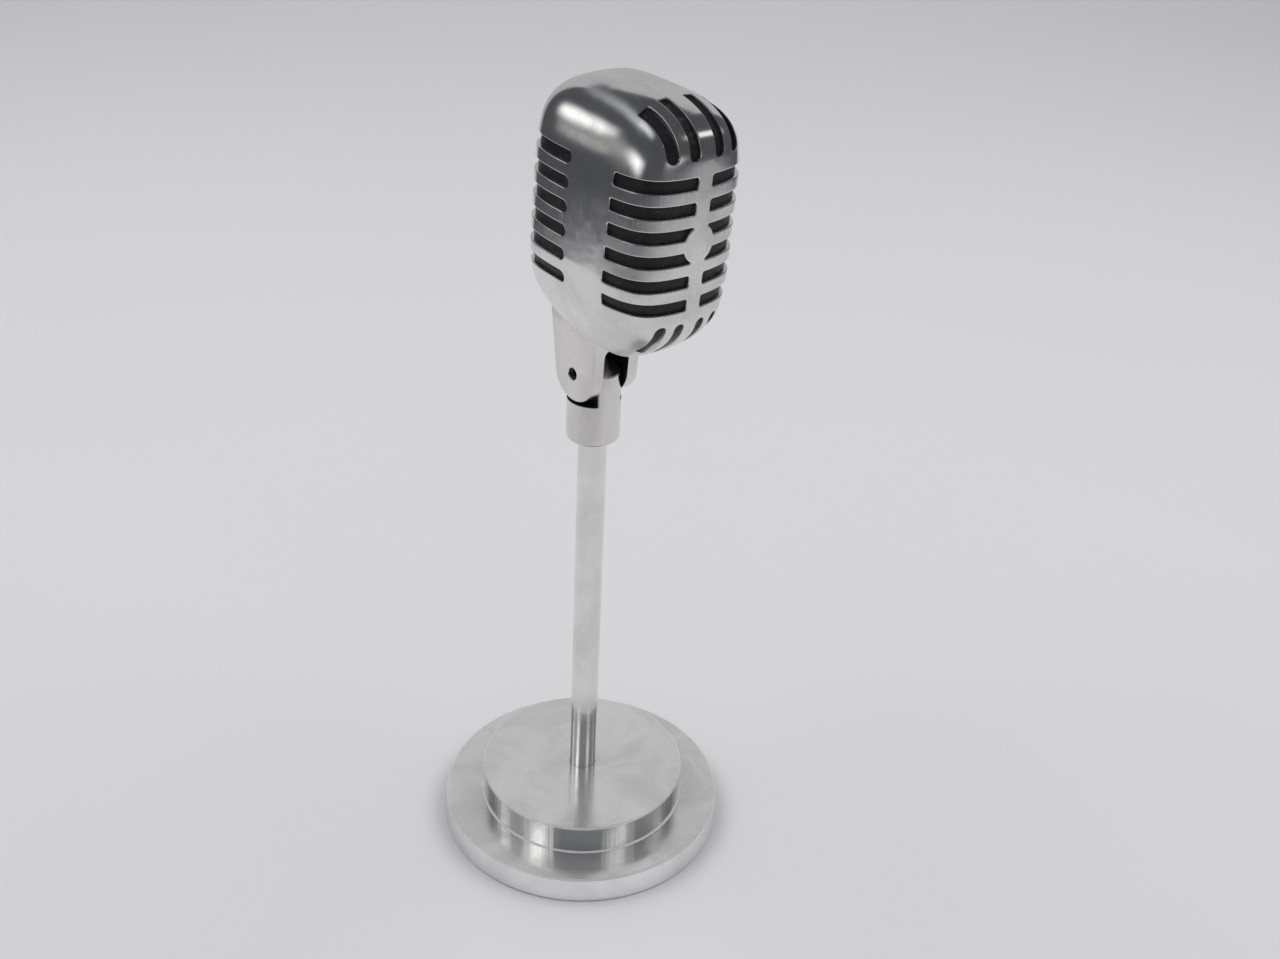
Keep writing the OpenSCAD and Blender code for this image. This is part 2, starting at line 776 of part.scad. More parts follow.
module outlet_shell() {
    color(aluminium) in_casing() on_outlet() difference() {
        union() {
            translate([0, 0, -outlet_l]) cylinder(r = outlet_r, h = outlet_l, $fn = medium);
            translate([0, 0, -outlet_flange_t]) cylinder(r = outlet_flange_r, h = outlet_flange_t, $fn = medium);
        }
        translate([0, 0, -outlet_bore_l]) cylinder(r = outlet_bore_r, h = outlet_bore_l + 1, $fn = medium);
        translate([0, 0, -outlet_l - 1]) cylinder(r = insulator_r, h = outlet_l, $fn = medium);
    }
}

module outlet_nut() {
    color(steel) in_casing() on_outlet() translate([0, 0, -outlet_boss_l - outlet_nut_t]) difference() {
        hex(15.5, outlet_nut_t);
        translate([0, 0, -1]) cylinder(r = outlet_r, h = outlet_nut_t + 2, $fn = medium);
    }
}

module outlet_insulator() {
    color(board_brown) in_casing() on_outlet() translate([0, 0, -outlet_l])
        tube(insulator_r, contact_r, outlet_l - outlet_bore_l);
}

module outlet_contact() {
    l = outlet_l - outlet_bore_l + contact_tail;
    color(brass) in_casing() on_outlet() translate([0, 0, -outlet_bore_l - l])
        cylinder(r = contact_r, h = l, $fn = small);
}

base_pad();
base_plate();
base_riser();
base_screws();
stem();
stem_washer();
stem_nut();
thrust_washer();
knuckle();
knuckle_set_screw();
yoke();
pivot_pin();
friction_washers();
yoke_screws();
front_shell();
rear_shell();
front_screen();
rear_screen();
grille_screw();
chassis_plate();
capsule_bracket();
bracket_screws();
shock_ring();
capsule_housing();
capsule_felt();
magnet_pot();
magnet();
pole_piece();
top_plate();
voice_coil();
diaphragm();
clamp_ring();
capsule_grille();
transformer_core();
transformer_coil();
transformer_strap();
transformer_screws();
terminal_board();
terminal_lugs();
capsule_leads();
outlet_leads();
outlet_shell();
outlet_nut();
outlet_insulator();
outlet_contact();
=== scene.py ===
import json
from collections import Counter
from math import acos, atan2, cos, degrees, hypot, pi, radians, sin, tan

import bmesh
import bpy
import numpy as np
from mathutils import Matrix, Vector
from mathutils.geometry import delaunay_2d_cdt
from mathutils.kdtree import KDTree


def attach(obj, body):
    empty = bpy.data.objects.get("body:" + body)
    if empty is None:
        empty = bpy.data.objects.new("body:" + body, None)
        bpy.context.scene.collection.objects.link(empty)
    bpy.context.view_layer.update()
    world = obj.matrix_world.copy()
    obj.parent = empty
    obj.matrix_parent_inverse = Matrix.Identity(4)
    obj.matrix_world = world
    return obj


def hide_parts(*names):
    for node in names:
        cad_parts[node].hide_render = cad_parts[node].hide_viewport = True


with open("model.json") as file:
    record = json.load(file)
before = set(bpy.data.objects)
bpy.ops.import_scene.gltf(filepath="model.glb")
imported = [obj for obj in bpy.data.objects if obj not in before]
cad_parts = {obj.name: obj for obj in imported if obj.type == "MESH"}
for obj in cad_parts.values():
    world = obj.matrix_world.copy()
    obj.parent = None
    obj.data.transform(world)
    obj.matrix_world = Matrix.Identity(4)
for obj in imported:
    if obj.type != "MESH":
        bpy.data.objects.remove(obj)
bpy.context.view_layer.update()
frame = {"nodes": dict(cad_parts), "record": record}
MM = 0.001

# Sizes in mm: base and stem
PLATE_R, PLATE_TAPER, PLATE_TOP = 61.3, 1.4, 10.8
PAD_R, PAD_LOW, PAD_TOP = 56.4, 0.4, 1.0
NUT_ROOM_R, NUT_ROOM_TOP = 13, 8.4
STEP_R, STEP_TOP, STEP_FOOT, STEP_LIFT = 43.9, 24.0, 0.7, 0.02
STEM_R, STEM_SEAT_R, STEM_SEAT = 5.72, 5.74, 18.0
SPIGOT_R, SPIGOT_HOLE_R, SPIGOT_LOW = 4, 4.2, 3
GROOVE_R, GROOVE_HALF = 4.82, 1.55
PIVOT_Z = 216.2
BORE_DROP, THRUST_T, SET_SCREW_DROP = 17.6, 1, 24.2
STEM_TOP, GROOVE_Z = PIVOT_Z - BORE_DROP - THRUST_T, PIVOT_Z - SET_SCREW_DROP

# Knuckle and yoke, from the pivot
KNUCKLE_R, KNUCKLE_DROP, LEDGE_DROP, STEM_BORE_R = 10.45, 29.7, 12.4, 5.76
TONGUE_HALF, TONGUE_BOSS_R, TONGUE_SHOULDER, PIN_BORE_R = 5.65, 5.05, -0.7, 2.3
EAR_R, EAR_Y, EAR_FRONT, EAR_REAR, YOKE_TOP = 10.7, -0.9, -11.6, (14.5, 22.6), 33.25
FORK_HALF, GAP_HALF, FORK_TOP, FORK_CORNER, PIN_R = 11.2, 6, 12.5, 2.5, 2.25
YOKE_SCREW_Y, SCREW_HOLE_R, HEAD_HOLE_R = (6, 14), 1.65, 2.95

# Head, in its own frame
HEAD_TILT = radians(4)
HEAD_Y, HEAD_BASE = -12.0, 11.25
HEAD_W, HEAD_D, HEAD_H = 52.6, 65.8, 101.0
CORNER_N, SIDE_CROWN, FRONT_CROWN = 6.0, 0.037, 0.136
SIDE_TAPER, FRONT_TAPER = 0.023, 0.062
DOME_N, SIDE_DOME_Z, FRONT_DOME_Z = 2.48, 0.651 * HEAD_H, 0.827 * HEAD_H
SIDE_BELLY, FRONT_BELLY = (42.7, 0.714), (28.2, 0.946)
WALL = 2.2
LAND_Z = 8.0
FLOOR_Z = LAND_Z + 1.85
SEAM_Y = -6.7
SLOT_H, PITCH, RIB = 4.25, 8.59, 6.4
BADGE_Z = 0.549 * HEAD_H
BADGE_R = 6.8
ROW_Z = [BADGE_Z + (2.5 - i) * PITCH for i in range(6)]
FRONT_CORNER_R, REAR_END_R = 0.9, SLOT_H / 2 - 0.02
FRONT_END, FRONT_STEP, REAR_END = -15.95, 0.26, 4.7
TOP_FLUTE_X, LOW_FLUTE_X, FLUTE_W, FLUTE_CORNER_R = (5.5, 13.8), (4.9, 12.3), 4.1, 0.5
TOP_FLUTE_LOW, TOP_FLUTE_END = ROW_Z[0] + 7.5, -15.0
LOW_FLUTE_HIGH, LOW_FLUTE_END = ROW_Z[5] - 6.9, -23.0
OUTLET_AT, OUTLET_DIP, OUTLET_R = np.array([0, 32.2, 22.75]), radians(24), 7.5
OUTLET_AXIS = np.array([0, cos(OUTLET_DIP), -sin(OUTLET_DIP)])

# What only the visual model has: rounded slot lips, black floors close under the skin, a closed seam
EDGE_R = 0.42
FLOOR_DEPTH, FLOOR_T = 1.3, 0.8
SEAM_OVERLAP, SEAM_TURN_IN = 0.08, 0.03
# Steps of the casing's mesh on the skin, slots and seam, and the height where they get closer
SKIN_STEP, SLOT_STEP, SEAM_STEP, CROWN_Z = 1.25, 0.8, 1.1, 62


def dome(z, start):
    """Share of the full width that the dome leaves at height z."""
    return (1 - np.clip((z - start) / (HEAD_H - start), 0, 1) ** DOME_N) ** (1 / DOME_N)


def belly(z, start, depth):
    """Share of the full width that is left where the head draws in below."""
    return 1 - depth * np.clip((start - z) / start, 0, 1) ** 2


def half_w(z):
    taper = 1 - SIDE_TAPER * (1 - z / HEAD_H)
    return HEAD_W / 2 * taper * dome(z, SIDE_DOME_Z) * belly(z, *SIDE_BELLY)


def half_d(z):
    taper = 1 + FRONT_TAPER * (1 - z / HEAD_H)
    return HEAD_D / 2 * taper * dome(z, FRONT_DOME_Z) * belly(z, *FRONT_BELLY)


def section_sum(x, y):
    """1 on the cross-section at unit size, for x and y from zero up."""
    return (x + SIDE_CROWN * y * y) ** CORNER_N + (y + FRONT_CROWN * x * x) ** CORNER_N


def halve(first, lo, hi, rounds=50):
    """Narrows the arrays lo and hi to where first, which holds at lo, ends."""
    for _ in range(rounds):
        mid = (lo + hi) / 2
        holds = first(mid)
        lo, hi = np.where(holds, mid, lo), np.where(holds, hi, mid)
    return lo, hi


def heights(start, count, crown_count):
    """Heights from start to the top of the head, closer together in the crown."""
    crown = np.sin(np.linspace(0, pi / 2, crown_count))[1:]
    return np.concatenate([np.linspace(start, CROWN_Z, count), CROWN_Z + (HEAD_H - CROWN_Z) * crown])


# One quarter of the cross-section: its angles, its radii and its points
_a = np.linspace(0, pi / 2, 3001)
_rho, _ = halve(lambda r: section_sum(r * np.cos(_a), r * np.sin(_a)) < 1,
                np.full(_a.shape, 0.5), np.full(_a.shape, 1.5))
_qx, _qy = _rho * np.cos(_a), _rho * np.sin(_a)


def ring_unit(phi):
    c, s = np.cos(phi), np.sin(phi)
    rho = np.interp(np.arctan2(np.abs(s), np.abs(c)), _a, _rho)
    return c * rho, s * rho


# Tables that turn the ring angle and the height into lengths along the surface
_z = heights(LAND_Z, 800, 4000)
_r = (half_w(_z) + half_d(_z)) / 2
_t = np.concatenate([[0], np.cumsum(np.hypot(np.diff(_z), np.diff(_r)))])
_phi = np.linspace(-pi, 2 * pi, 9001)
_ux, _uy = ring_unit(_phi)
_girth = np.hypot(np.diff(_ux) * half_w(50.0), np.diff(_uy) * half_d(50.0))
_s = np.concatenate([[0], np.cumsum(_girth)])
_s -= np.interp(-pi / 2, _phi, _s)


def s_of(phi):
    return np.interp(phi, _phi, _s)


def phi_of(s):
    return np.interp(s, _s, _phi)


def t_of(z):
    return np.interp(z, _z, _t)


def z_of(t):
    return np.interp(t, _t, _z)


def on_sheet(phi, z):
    """Surface points as flat ones: along the ring and up the surface."""
    return np.stack([s_of(phi), t_of(z)], -1)


def point(phi, z):
    """The casing's surface point at a ring angle and a height."""
    x, y = ring_unit(phi)
    return np.stack([x * half_w(z), y * half_d(z), z + 0 * x], -1)


def normal(phi, z):
    """Outward normal of the casing, from the slope of its implicit surface."""
    x, y = ring_unit(phi)
    w, d = half_w(z), half_d(z)
    h = 1e-3
    zl, zh = np.maximum(z - h, LAND_Z), np.minimum(z + h, HEAD_H - 1e-6)
    dw, dd = (half_w(zh) - half_w(zl)) / (zh - zl), (half_d(zh) - half_d(zl)) / (zh - zl)
    x, y, sx, sy = np.abs(x), np.abs(y), np.sign(x), np.sign(y)
    u, v = (x + SIDE_CROWN * y * y) ** (CORNER_N - 1), (y + FRONT_CROWN * x * x) ** (CORNER_N - 1)
    gx, gy = u + 2 * FRONT_CROWN * x * v, v + 2 * SIDE_CROWN * y * u
    g = np.stack([gx * sx / w, gy * sy / d, -(gx * x * dw / w + gy * y * dd / d)], -1)
    return g / np.linalg.norm(g, axis=-1, keepdims=True)


def unit(v):
    return v / np.maximum(np.linalg.norm(v, axis=-1, keepdims=True), 1e-12)


def phi_front(x, z, side):
    """Ring angle at x (0 or more) and a height, on the front (side -1) or the rear (side 1)."""
    k = np.argmax(_qx)
    return side * np.interp(-x / half_w(z), -_qx[k:], _a[k:])


def phi_side(y, z):
    """Ring angle of the surface point at that y and height, on the +X side."""
    k = np.argmax(_qy) + 1
    return np.sign(y) * np.interp(np.abs(y) / half_d(z), _qy[:k], _a[:k])


def outside(x, y, z):
    """Above 0 outside the casing's outer surface, below 0 inside."""
    return section_sum(np.abs(x) / half_w(z), np.abs(y) / half_d(z)) - 1


def ring_place(p):
    """Ring angle and height of points near the surface."""
    z = np.clip(p[:, 2], LAND_Z + 0.02, HEAD_H - 0.02)
    return np.arctan2(p[:, 1] / half_d(z), p[:, 0] / half_w(z)), z


def z_at(x, y, lo, hi):
    """Height between lo and hi where the surface passes through x and y."""
    lo, hi = np.full_like(x, lo), np.full_like(x, hi)
    side = np.sign(outside(x, y, lo))
    lo, hi = halve(lambda z: np.sign(outside(x, y, z)) == side, lo, hi, 60)
    return (lo + hi) / 2


def corner_cut(d, r):
    """How far a rounded end of radius r starts back at distance d from the slot's long edge."""
    d = np.clip(d, 0, r)
    return r - np.sqrt(np.maximum(r * r - (r - d) ** 2, 0))


def between(a, b, step):
    """Even values from a to b, without the two ends."""
    return np.linspace(a, b, max(2, int(abs(b - a) / step) + 1))[1:-1]


def round_z(z0, z1, r):
    """Heights from z0 to z1 that are close together in the rounded corners."""
    a = r * (1 - np.cos(np.linspace(0, pi / 2, 7)))
    mid = np.linspace(z0 + r, z1 - r, 5)[1:-1] if z1 - z0 > 2 * r + 0.4 else []
    return np.concatenate([z0 + a, mid, (z1 - a)[::-1]])


def row_slot(zc, front, end_y):
    """Outline of a row slot on the +X side, as ring angles and heights, anticlockwise seen from outside."""
    z0, z1 = zc - SLOT_H / 2, zc + SLOT_H / 2
    r = FRONT_CORNER_R if front else REAR_END_R
    zz = round_z(z0, z1, r)
    cut = corner_cut(np.minimum(zz - z0, z1 - zz), r)
    inner = RIB / 2 + cut
    side = -1 if front else 1
    if front:
        inner = np.maximum(inner, np.sqrt(np.maximum(BADGE_R ** 2 - (zz - BADGE_Z) ** 2, 0)))
    s_rib, s_end = s_of(phi_front(inner, zz, side)), s_of(phi_side(end_y + side * cut, zz))
    low = between(s_rib[0], s_end[0], SLOT_STEP)
    high = between(s_end[-1], s_rib[-1], SLOT_STEP)
    s = np.concatenate([low, s_end, high, s_rib[::-1]])
    z = np.concatenate([low * 0 + z0, zz, high * 0 + z1, zz[::-1]])
    return phi_of(s), z


def flute(xc, top):
    """Outline of an upright slot, for xc > 0."""
    r = FLUTE_W / 2
    if top:
        ring_z, y_end, z_far = TOP_FLUTE_LOW + r, TOP_FLUTE_END, HEAD_H - 0.01
    else:
        ring_z, y_end, z_far = LOW_FLUTE_HIGH - r, LOW_FLUTE_END, LAND_Z + 0.01
    a = np.linspace(pi, 2 * pi, 15) if top else np.linspace(0, pi, 15)
    arc_x, arc_z = xc + r * np.cos(a), ring_z + r * np.sin(a)
    across = r * np.cos(np.linspace(0, pi, 11))
    end_x = xc + (across if top else -across)
    back = corner_cut(r - np.abs(end_x - xc), FLUTE_CORNER_R)
    end_z = z_at(end_x, y_end - back, ring_z, z_far)
    rise = between(t_of(ring_z), t_of(end_z[0]), SLOT_STEP)
    fall = between(t_of(ring_z), t_of(end_z[-1]), SLOT_STEP)[::-1]
    xs = np.concatenate([arc_x, rise * 0 + end_x[0], end_x, fall * 0 + end_x[-1]])
    zs = np.concatenate([arc_z, z_of(rise), end_z, z_of(fall)])
    return phi_front(xs, zs, -1), zs


def mirrored(outline):
    """The same outline on the -X side."""
    phi, z = outline
    return (pi - phi)[::-1], z[::-1]


def on_front(outline):
    """Ring angles of the front half, between -pi and 0."""
    phi, z = outline
    return np.where(phi > pi / 2, phi - 2 * pi, phi), z


def resample(phi, z, step):
    """The same curve on the surface, in even steps."""
    gaps = np.linalg.norm(np.diff(point(phi, z), axis=0), axis=1)
    far = np.concatenate([[0], np.cumsum(gaps)])
    even = np.linspace(0, far[-1], int(far[-1] / step) + 2)
    return np.interp(even, far, phi), np.interp(even, far, z)


def seam_curve(y):
    """The seam on the +X side, from the underside up to the top."""
    z_top = float(z_at(np.array([0.0]), np.array([y]), 90.0, HEAD_H - 1e-6)[0])
    t = t_of(z_top) * (1 - np.linspace(1, 0, 3000) ** 3)
    z = z_of(t)
    phi = phi_side(np.full_like(z, y), z)
    phi[-1], z[-1] = -pi / 2, z_top
    return resample(phi, z, SEAM_STEP)


def outlet_hole(count=48):
    """The round seat of the cable outlet, projected on to the rear along the outlet's axis."""
    a = np.linspace(0, 2 * pi, count, endpoint=False)
    e1, e2 = np.array([-1.0, 0, 0]), np.array([0, sin(OUTLET_DIP), cos(OUTLET_DIP)])
    base = OUTLET_AT + OUTLET_R * (np.cos(a)[:, None] * e1 + np.sin(a)[:, None] * e2)
    along = lambda k: base + k[:, None] * OUTLET_AXIS
    lo, _ = halve(lambda k: outside(*along(k).T) < 0, np.full(count, -6.0), np.full(count, 6.0))
    return ring_place(along(lo))


def inside_polygon(q, poly):
    """Which points q lie inside the closed polygon."""
    x, y = q[:, 0], q[:, 1]
    hit = np.zeros(len(q), bool)
    lo, hi = poly.min(0), poly.max(0)
    near = np.where((x >= lo[0]) & (x <= hi[0]) & (y >= lo[1]) & (y <= hi[1]))[0]
    x, y = x[near], y[near]
    odd = np.zeros(len(near), bool)
    for (ax, ay), (bx, by) in zip(poly, np.roll(poly, -1, 0)):
        if ay != by:
            odd ^= ((ay > y) != (by > y)) & (x < (bx - ax) * (y - ay) / (by - ay) + ax)
    hit[near] = odd
    return hit


def in_sheet(q, outlines):
    """Which points q lie inside the first outline and in none of the others."""
    keep = inside_polygon(q, outlines[0])
    for outline in outlines[1:]:
        keep &= ~inside_polygon(q, outline)
    return keep


class Shell:
    """Vertices, faces and corner normals of one closed piece."""

    def __init__(self):
        self.v, self.f, self.n = [], [], []
        self.count = 0

    def add(self, pts):
        start = self.count
        self.v.append(np.asarray(pts, float))
        self.count += len(pts)
        return np.arange(start, self.count)

    def face(self, ids, normals):
        self.f.append(list(ids))
        self.n.extend(list(normals))

    def strip(self, a, b, na, nb, closed=True):
        """Quads between the rows a and b, which run the same way."""
        k = len(a)
        for i in range(k if closed else k - 1):
            j = (i + 1) % k
            self.face((a[i], b[i], b[j], a[j]), (na[i], nb[i], nb[j], na[j]))


class Lip:
    """A hole's edge: the sharp edge, the outline on the skin where its rounding starts, and its wall."""

    def __init__(self, phi, z, kind):
        x, y = on_sheet(phi, z).T
        if np.sum(x * np.roll(y, -1) - np.roll(x, -1) * y) < 0:
            phi, z = phi[::-1], z[::-1]
        self.edge, self.n = point(phi, z), normal(phi, z)
        along = unit(np.roll(self.edge, -1, 0) - np.roll(self.edge, 1, 0))
        out = unit(np.cross(along, self.n))
        self.deep = self.direction(kind)
        self.wall = -unit(out - np.sum(out * self.deep, -1, keepdims=True) * self.deep)
        # the outline is dropped on to the surface in three rounds
        q = self.edge + EDGE_R * out
        for _ in range(3):
            q_phi, q_z = ring_place(q)
            q_n = normal(q_phi, q_z)
            q = q - np.sum((q - point(q_phi, q_z)) * q_n, -1, keepdims=True) * q_n
        q_phi, self.z = ring_place(q)
        self.phi = q_phi + 2 * pi * np.round((phi - q_phi) / (2 * pi))
        self.sheet = on_sheet(self.phi, self.z)

    def direction(self, kind):
        """The way that the hole is cut in: level for rows, upright for flutes, or along the outlet."""
        if kind == "row":
            return unit(self.n * [1, 1, 0])
        if kind == "flute":
            return unit(self.n * [0, 1, 1])
        return np.tile(OUTLET_AXIS, (len(self.n), 1))


def triangulated(outlines, s_range):
    """Even triangles over the sheet. Returns flat points, triangles and each outline's point numbers."""
    fixed = np.concatenate(outlines)
    tree = KDTree(len(fixed))
    for i, c in enumerate(fixed):
        tree.insert((c[0], c[1], 0), i)
    tree.balance()
    across, up = np.arange(*s_range, SKIN_STEP), np.arange(0.5, _t[-1], SKIN_STEP)
    grid = np.array([(s + (0.5 * SKIN_STEP if j % 2 else 0), t) for j, t in enumerate(up) for s in across])
    grid = grid[in_sheet(grid, outlines)]
    grid = np.array([g for g in grid if tree.find((g[0], g[1], 0))[2] > 0.5 * SKIN_STEP])
    edges, start = [], 0
    for outline in outlines:
        k = len(outline)
        edges += [(start + i, start + (i + 1) % k) for i in range(k)]
        start += k
    every = [Vector(c) for c in np.concatenate([fixed, grid])]
    verts, _, faces, source, _, _ = delaunay_2d_cdt(every, edges, [], 0, 1e-5)
    flat = np.array([v[:] for v in verts])
    where = {s[0]: i for i, s in enumerate(source) if s}
    tri = np.array([f[:] for f in faces if len(f) == 3])
    tri = tri[in_sheet(flat[tri].mean(1), outlines)]
    ab, ac = (flat[tri[:, k]] - flat[tri[:, 0]] for k in (1, 2))
    turn = ab[:, 0] * ac[:, 1] - ab[:, 1] * ac[:, 0]
    tri[turn < 0] = tri[turn < 0][:, ::-1]
    # an outline's edge borders one triangle only: slivers on its far side go
    border = {frozenset((where[i], where[j])) for i, j in edges}
    sides = [[frozenset((t[k], t[(k + 1) % 3])) for k in range(3)] for t in tri.tolist()]
    uses = Counter(e for t in sides for e in t)
    sliver = 0.1
    thin = [w < sliver and any(e in border and uses[e] > 1 for e in t) for w, t in zip(np.abs(turn), sides)]
    numbers = iter([where[i] for i in range(len(fixed))])
    return flat, tri[~np.array(thin)], [[next(numbers) for _ in outline] for outline in outlines]


def casing_half(boundary, open_edge, holes, s_range, pole=False):
    """One half of the casing: skin, inner face, lips and seam wall.

    boundary: closed outline (phi, z), anticlockwise; open_edge: its points along the seam, from end
    to end; holes: (phi, z, kind); pole: the half that holds the top of the head.
    """
    b_phi, b_z = boundary
    lips = [Lip(*hole) for hole in holes]
    flat, tri, rings = triangulated([on_sheet(b_phi, b_z)] + [lip.sheet for lip in lips], s_range)
    rim = rings[0]
    phi, z = phi_of(flat[:, 0]), z_of(flat[:, 1])
    phi[rim], z[rim] = b_phi, b_z
    for lip, ids in zip(lips, rings[1:]):
        phi[ids], z[ids] = lip.phi, lip.z

    outer, n_out = point(phi, z), normal(phi, np.minimum(z, HEAD_H - 1e-3))
    inner = outer - WALL * n_out
    seam = [rim[i] for i in open_edge]
    n_seam = n_out[seam]
    d_seam = unit(n_seam * [1, 0, 1])
    inner[seam] = outer[seam] - WALL * d_seam / np.sum(d_seam * n_seam, -1, keepdims=True)
    inner[:, 2] = np.maximum(inner[:, 2], FLOOR_Z)
    low = np.array([i for i, height in zip(rim, b_z) if height <= LAND_Z + 1e-6])
    for i in low:
        shrink = 1 - WALL / np.hypot(*outer[i, :2])
        inner[i] = [outer[i, 0] * shrink, outer[i, 1] * shrink, FLOOR_Z]
    for lip, ids in zip(lips, rings[1:]):
        inner[ids] = lip.edge - WALL * lip.deep / np.sum(lip.deep * lip.n, -1, keepdims=True)

    sh = Shell()
    o_id, i_id = sh.add(outer), sh.add(inner)
    for t in tri:
        sh.face(o_id[t], n_out[t])
        sh.face(i_id[t[::-1]], -n_out[t[::-1]])
    for lip, ids in zip(lips, rings[1:]):
        foot = lip.edge - EDGE_R * lip.deep
        row, n_row = o_id[ids], n_out[ids]
        for u in (0.25, 0.5, 0.75, 1.0):
            new = sh.add((1 - u) ** 2 * outer[ids] + 2 * u * (1 - u) * lip.edge + u * u * foot)
            a = pi / 2 * u
            n_new = unit(cos(a) * n_out[ids] + sin(a) * lip.wall)
            sh.strip(new, row, n_new, n_row)
            row, n_row = new, n_new
        sh.strip(i_id[ids], row, lip.wall, lip.wall)
    # a hair of skin turned in at the seam, so that the outer points keep their own normals
    turned = sh.add(outer[seam] - SEAM_TURN_IN * d_seam)
    sh.strip(turned, o_id[seam], n_seam, n_seam, closed=False)
    across = np.tile([0, -1.0 if pole else 1.0, 0], (len(seam), 1))
    sh.strip(i_id[seam], turned, across, across, closed=False)
    down = np.tile([0, 0, -1.0], (len(low), 1))
    sh.face(o_id[low[::-1]], down)
    sh.face(i_id[low], -down)
    first, last = seam[0], seam[-1]
    sh.face((i_id[last], i_id[first], turned[0], turned[-1]), across[:4])
    sh.face((turned[-1], turned[0], o_id[first], o_id[last]), n_out[[last, first, first, last]])
    if pole:
        ring = [i for i, height in zip(rim, b_z) if abs(height - b_z.max()) < 1e-9]
        apex_o, apex_i = sh.add([[0, 0, HEAD_H], [0, 0, HEAD_H - WALL]])
        up = np.array([0, 0, 1.0])
        for a, b in zip(ring[:-1], ring[1:]):
            sh.face((o_id[b], o_id[a], apex_o), (n_out[b], n_out[a], up))
            sh.face((i_id[a], i_id[b], apex_i), (-n_out[a], -n_out[b], -up))
    return sh


def tilted(v):
    """Turned by the head's tilt."""
    c, s = cos(HEAD_TILT), sin(HEAD_TILT)
    return np.stack([v[:, 0], v[:, 1] * c - v[:, 2] * s, v[:, 1] * s + v[:, 2] * c], -1)


def to_world(p):
    """From the casing's frame in mm to the object's in m."""
    return (tilted(p + [0, HEAD_Y, HEAD_BASE]) + [0, 0, PIVOT_Z]) * MM


def link(name, data):
    obj = bpy.data.objects.new(name, data)
    bpy.context.scene.collection.objects.link(obj)
    return obj


def shell_object(name, sh, move=to_world, turn=tilted):
    """Merges points that coincide, then makes the object with its own corner normals."""
    v = np.concatenate(sh.v)
    _, first, back = np.unique(np.round(v, 4), axis=0, return_index=True, return_inverse=True)
    back = back.reshape(-1)
    faces, normals, k = [], [], 0
    for f in sh.f:
        ids = back[f]
        keep = [i for i in range(len(ids)) if ids[i] != ids[i - 1]]
        if len(keep) > 2:
            faces.append([int(ids[i]) for i in keep])
            normals += [sh.n[k + i] for i in keep]
        k += len(f)
    mesh = bpy.data.meshes.new(name)
    mesh.from_pydata(move(v[first]).tolist(), [], faces)
    mesh.polygons.foreach_set("use_smooth", [True] * len(mesh.polygons))
    mesh.normals_split_custom_set([tuple(n) for n in turn(unit(np.array(normals, float)))])
    mesh.update()
    return link(name, mesh)


def front_holes():
    out = []
    for i, zc in enumerate(ROW_Z):
        o = row_slot(zc, True, FRONT_END + i * FRONT_STEP)
        out += [(*on_front(side), "row") for side in (o, mirrored(o))]
    for top, places in ((True, TOP_FLUTE_X), (False, LOW_FLUTE_X)):
        for xc in places:
            o = flute(xc, top)
            out += [(*on_front(side), "flute") for side in (o, mirrored(o))]
    return out


def rear_holes():
    out = []
    for zc in ROW_Z:
        o = row_slot(zc, False, REAR_END)
        out += [(*o, "row"), (*mirrored(o), "row")]
    out.append((*outlet_hole(), "outlet"))
    return out


def make_front_casing():
    """Its outline runs along the underside from -X to +X, up the +X seam and down the -X seam."""
    phi, z = seam_curve(SEAM_Y + SEAM_OVERLAP)
    low_s = between(s_of(-pi - phi[0]), s_of(phi[0]), SEAM_STEP)
    b_phi = np.concatenate([phi_of(low_s), phi, (-pi - phi[::-1])[1:]])
    b_z = np.concatenate([low_s * 0 + LAND_Z, z, z[::-1][1:]])
    edge = list(range(len(low_s), len(b_phi)))
    span = (s_of(-pi), s_of(0.0) + 5)
    return shell_object("front_casing", casing_half((b_phi, b_z), edge, front_holes(), span))


def make_rear_casing():
    """Unrolled from -90 to 270 degrees and cut above the seam's top, with a small ring round the pole."""
    left, right = -0.5 * pi, 1.5 * pi
    phi, z = seam_curve(SEAM_Y - SEAM_OVERLAP)
    low_s = between(s_of(phi[0]), s_of(pi - phi[0]), SEAM_STEP)
    t_pole = t_of(HEAD_H) - 0.8
    cut_t = between(t_of(z[-1]), t_pole, 0.9)
    ring = np.linspace(right, left, 73)
    cut, cut_z = cut_t * 0, z_of(cut_t)
    b_phi = np.concatenate([phi_of(low_s), pi - phi, cut + right, ring, cut + left, phi[::-1]])
    b_z = np.concatenate([low_s * 0 + LAND_Z, z, cut_z, ring * 0 + z_of(t_pole), cut_z[::-1], z[::-1]])
    n_low, n_seam, n_all = len(low_s), len(phi), len(b_phi)
    edge = list(range(n_all - n_seam, n_all))[::-1] + list(range(n_low, n_low + n_seam))[::-1]
    rear = casing_half((b_phi, b_z), edge, rear_holes(), (s_of(left), s_of(right)), pole=True)
    return shell_object("rear_casing", rear)


def belongs(piece, body, node):
    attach(piece, body)
    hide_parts(node)
    return piece


front_casing = belongs(make_front_casing(), "head", "front_shell")
rear_casing = belongs(make_rear_casing(), "head", "rear_shell")


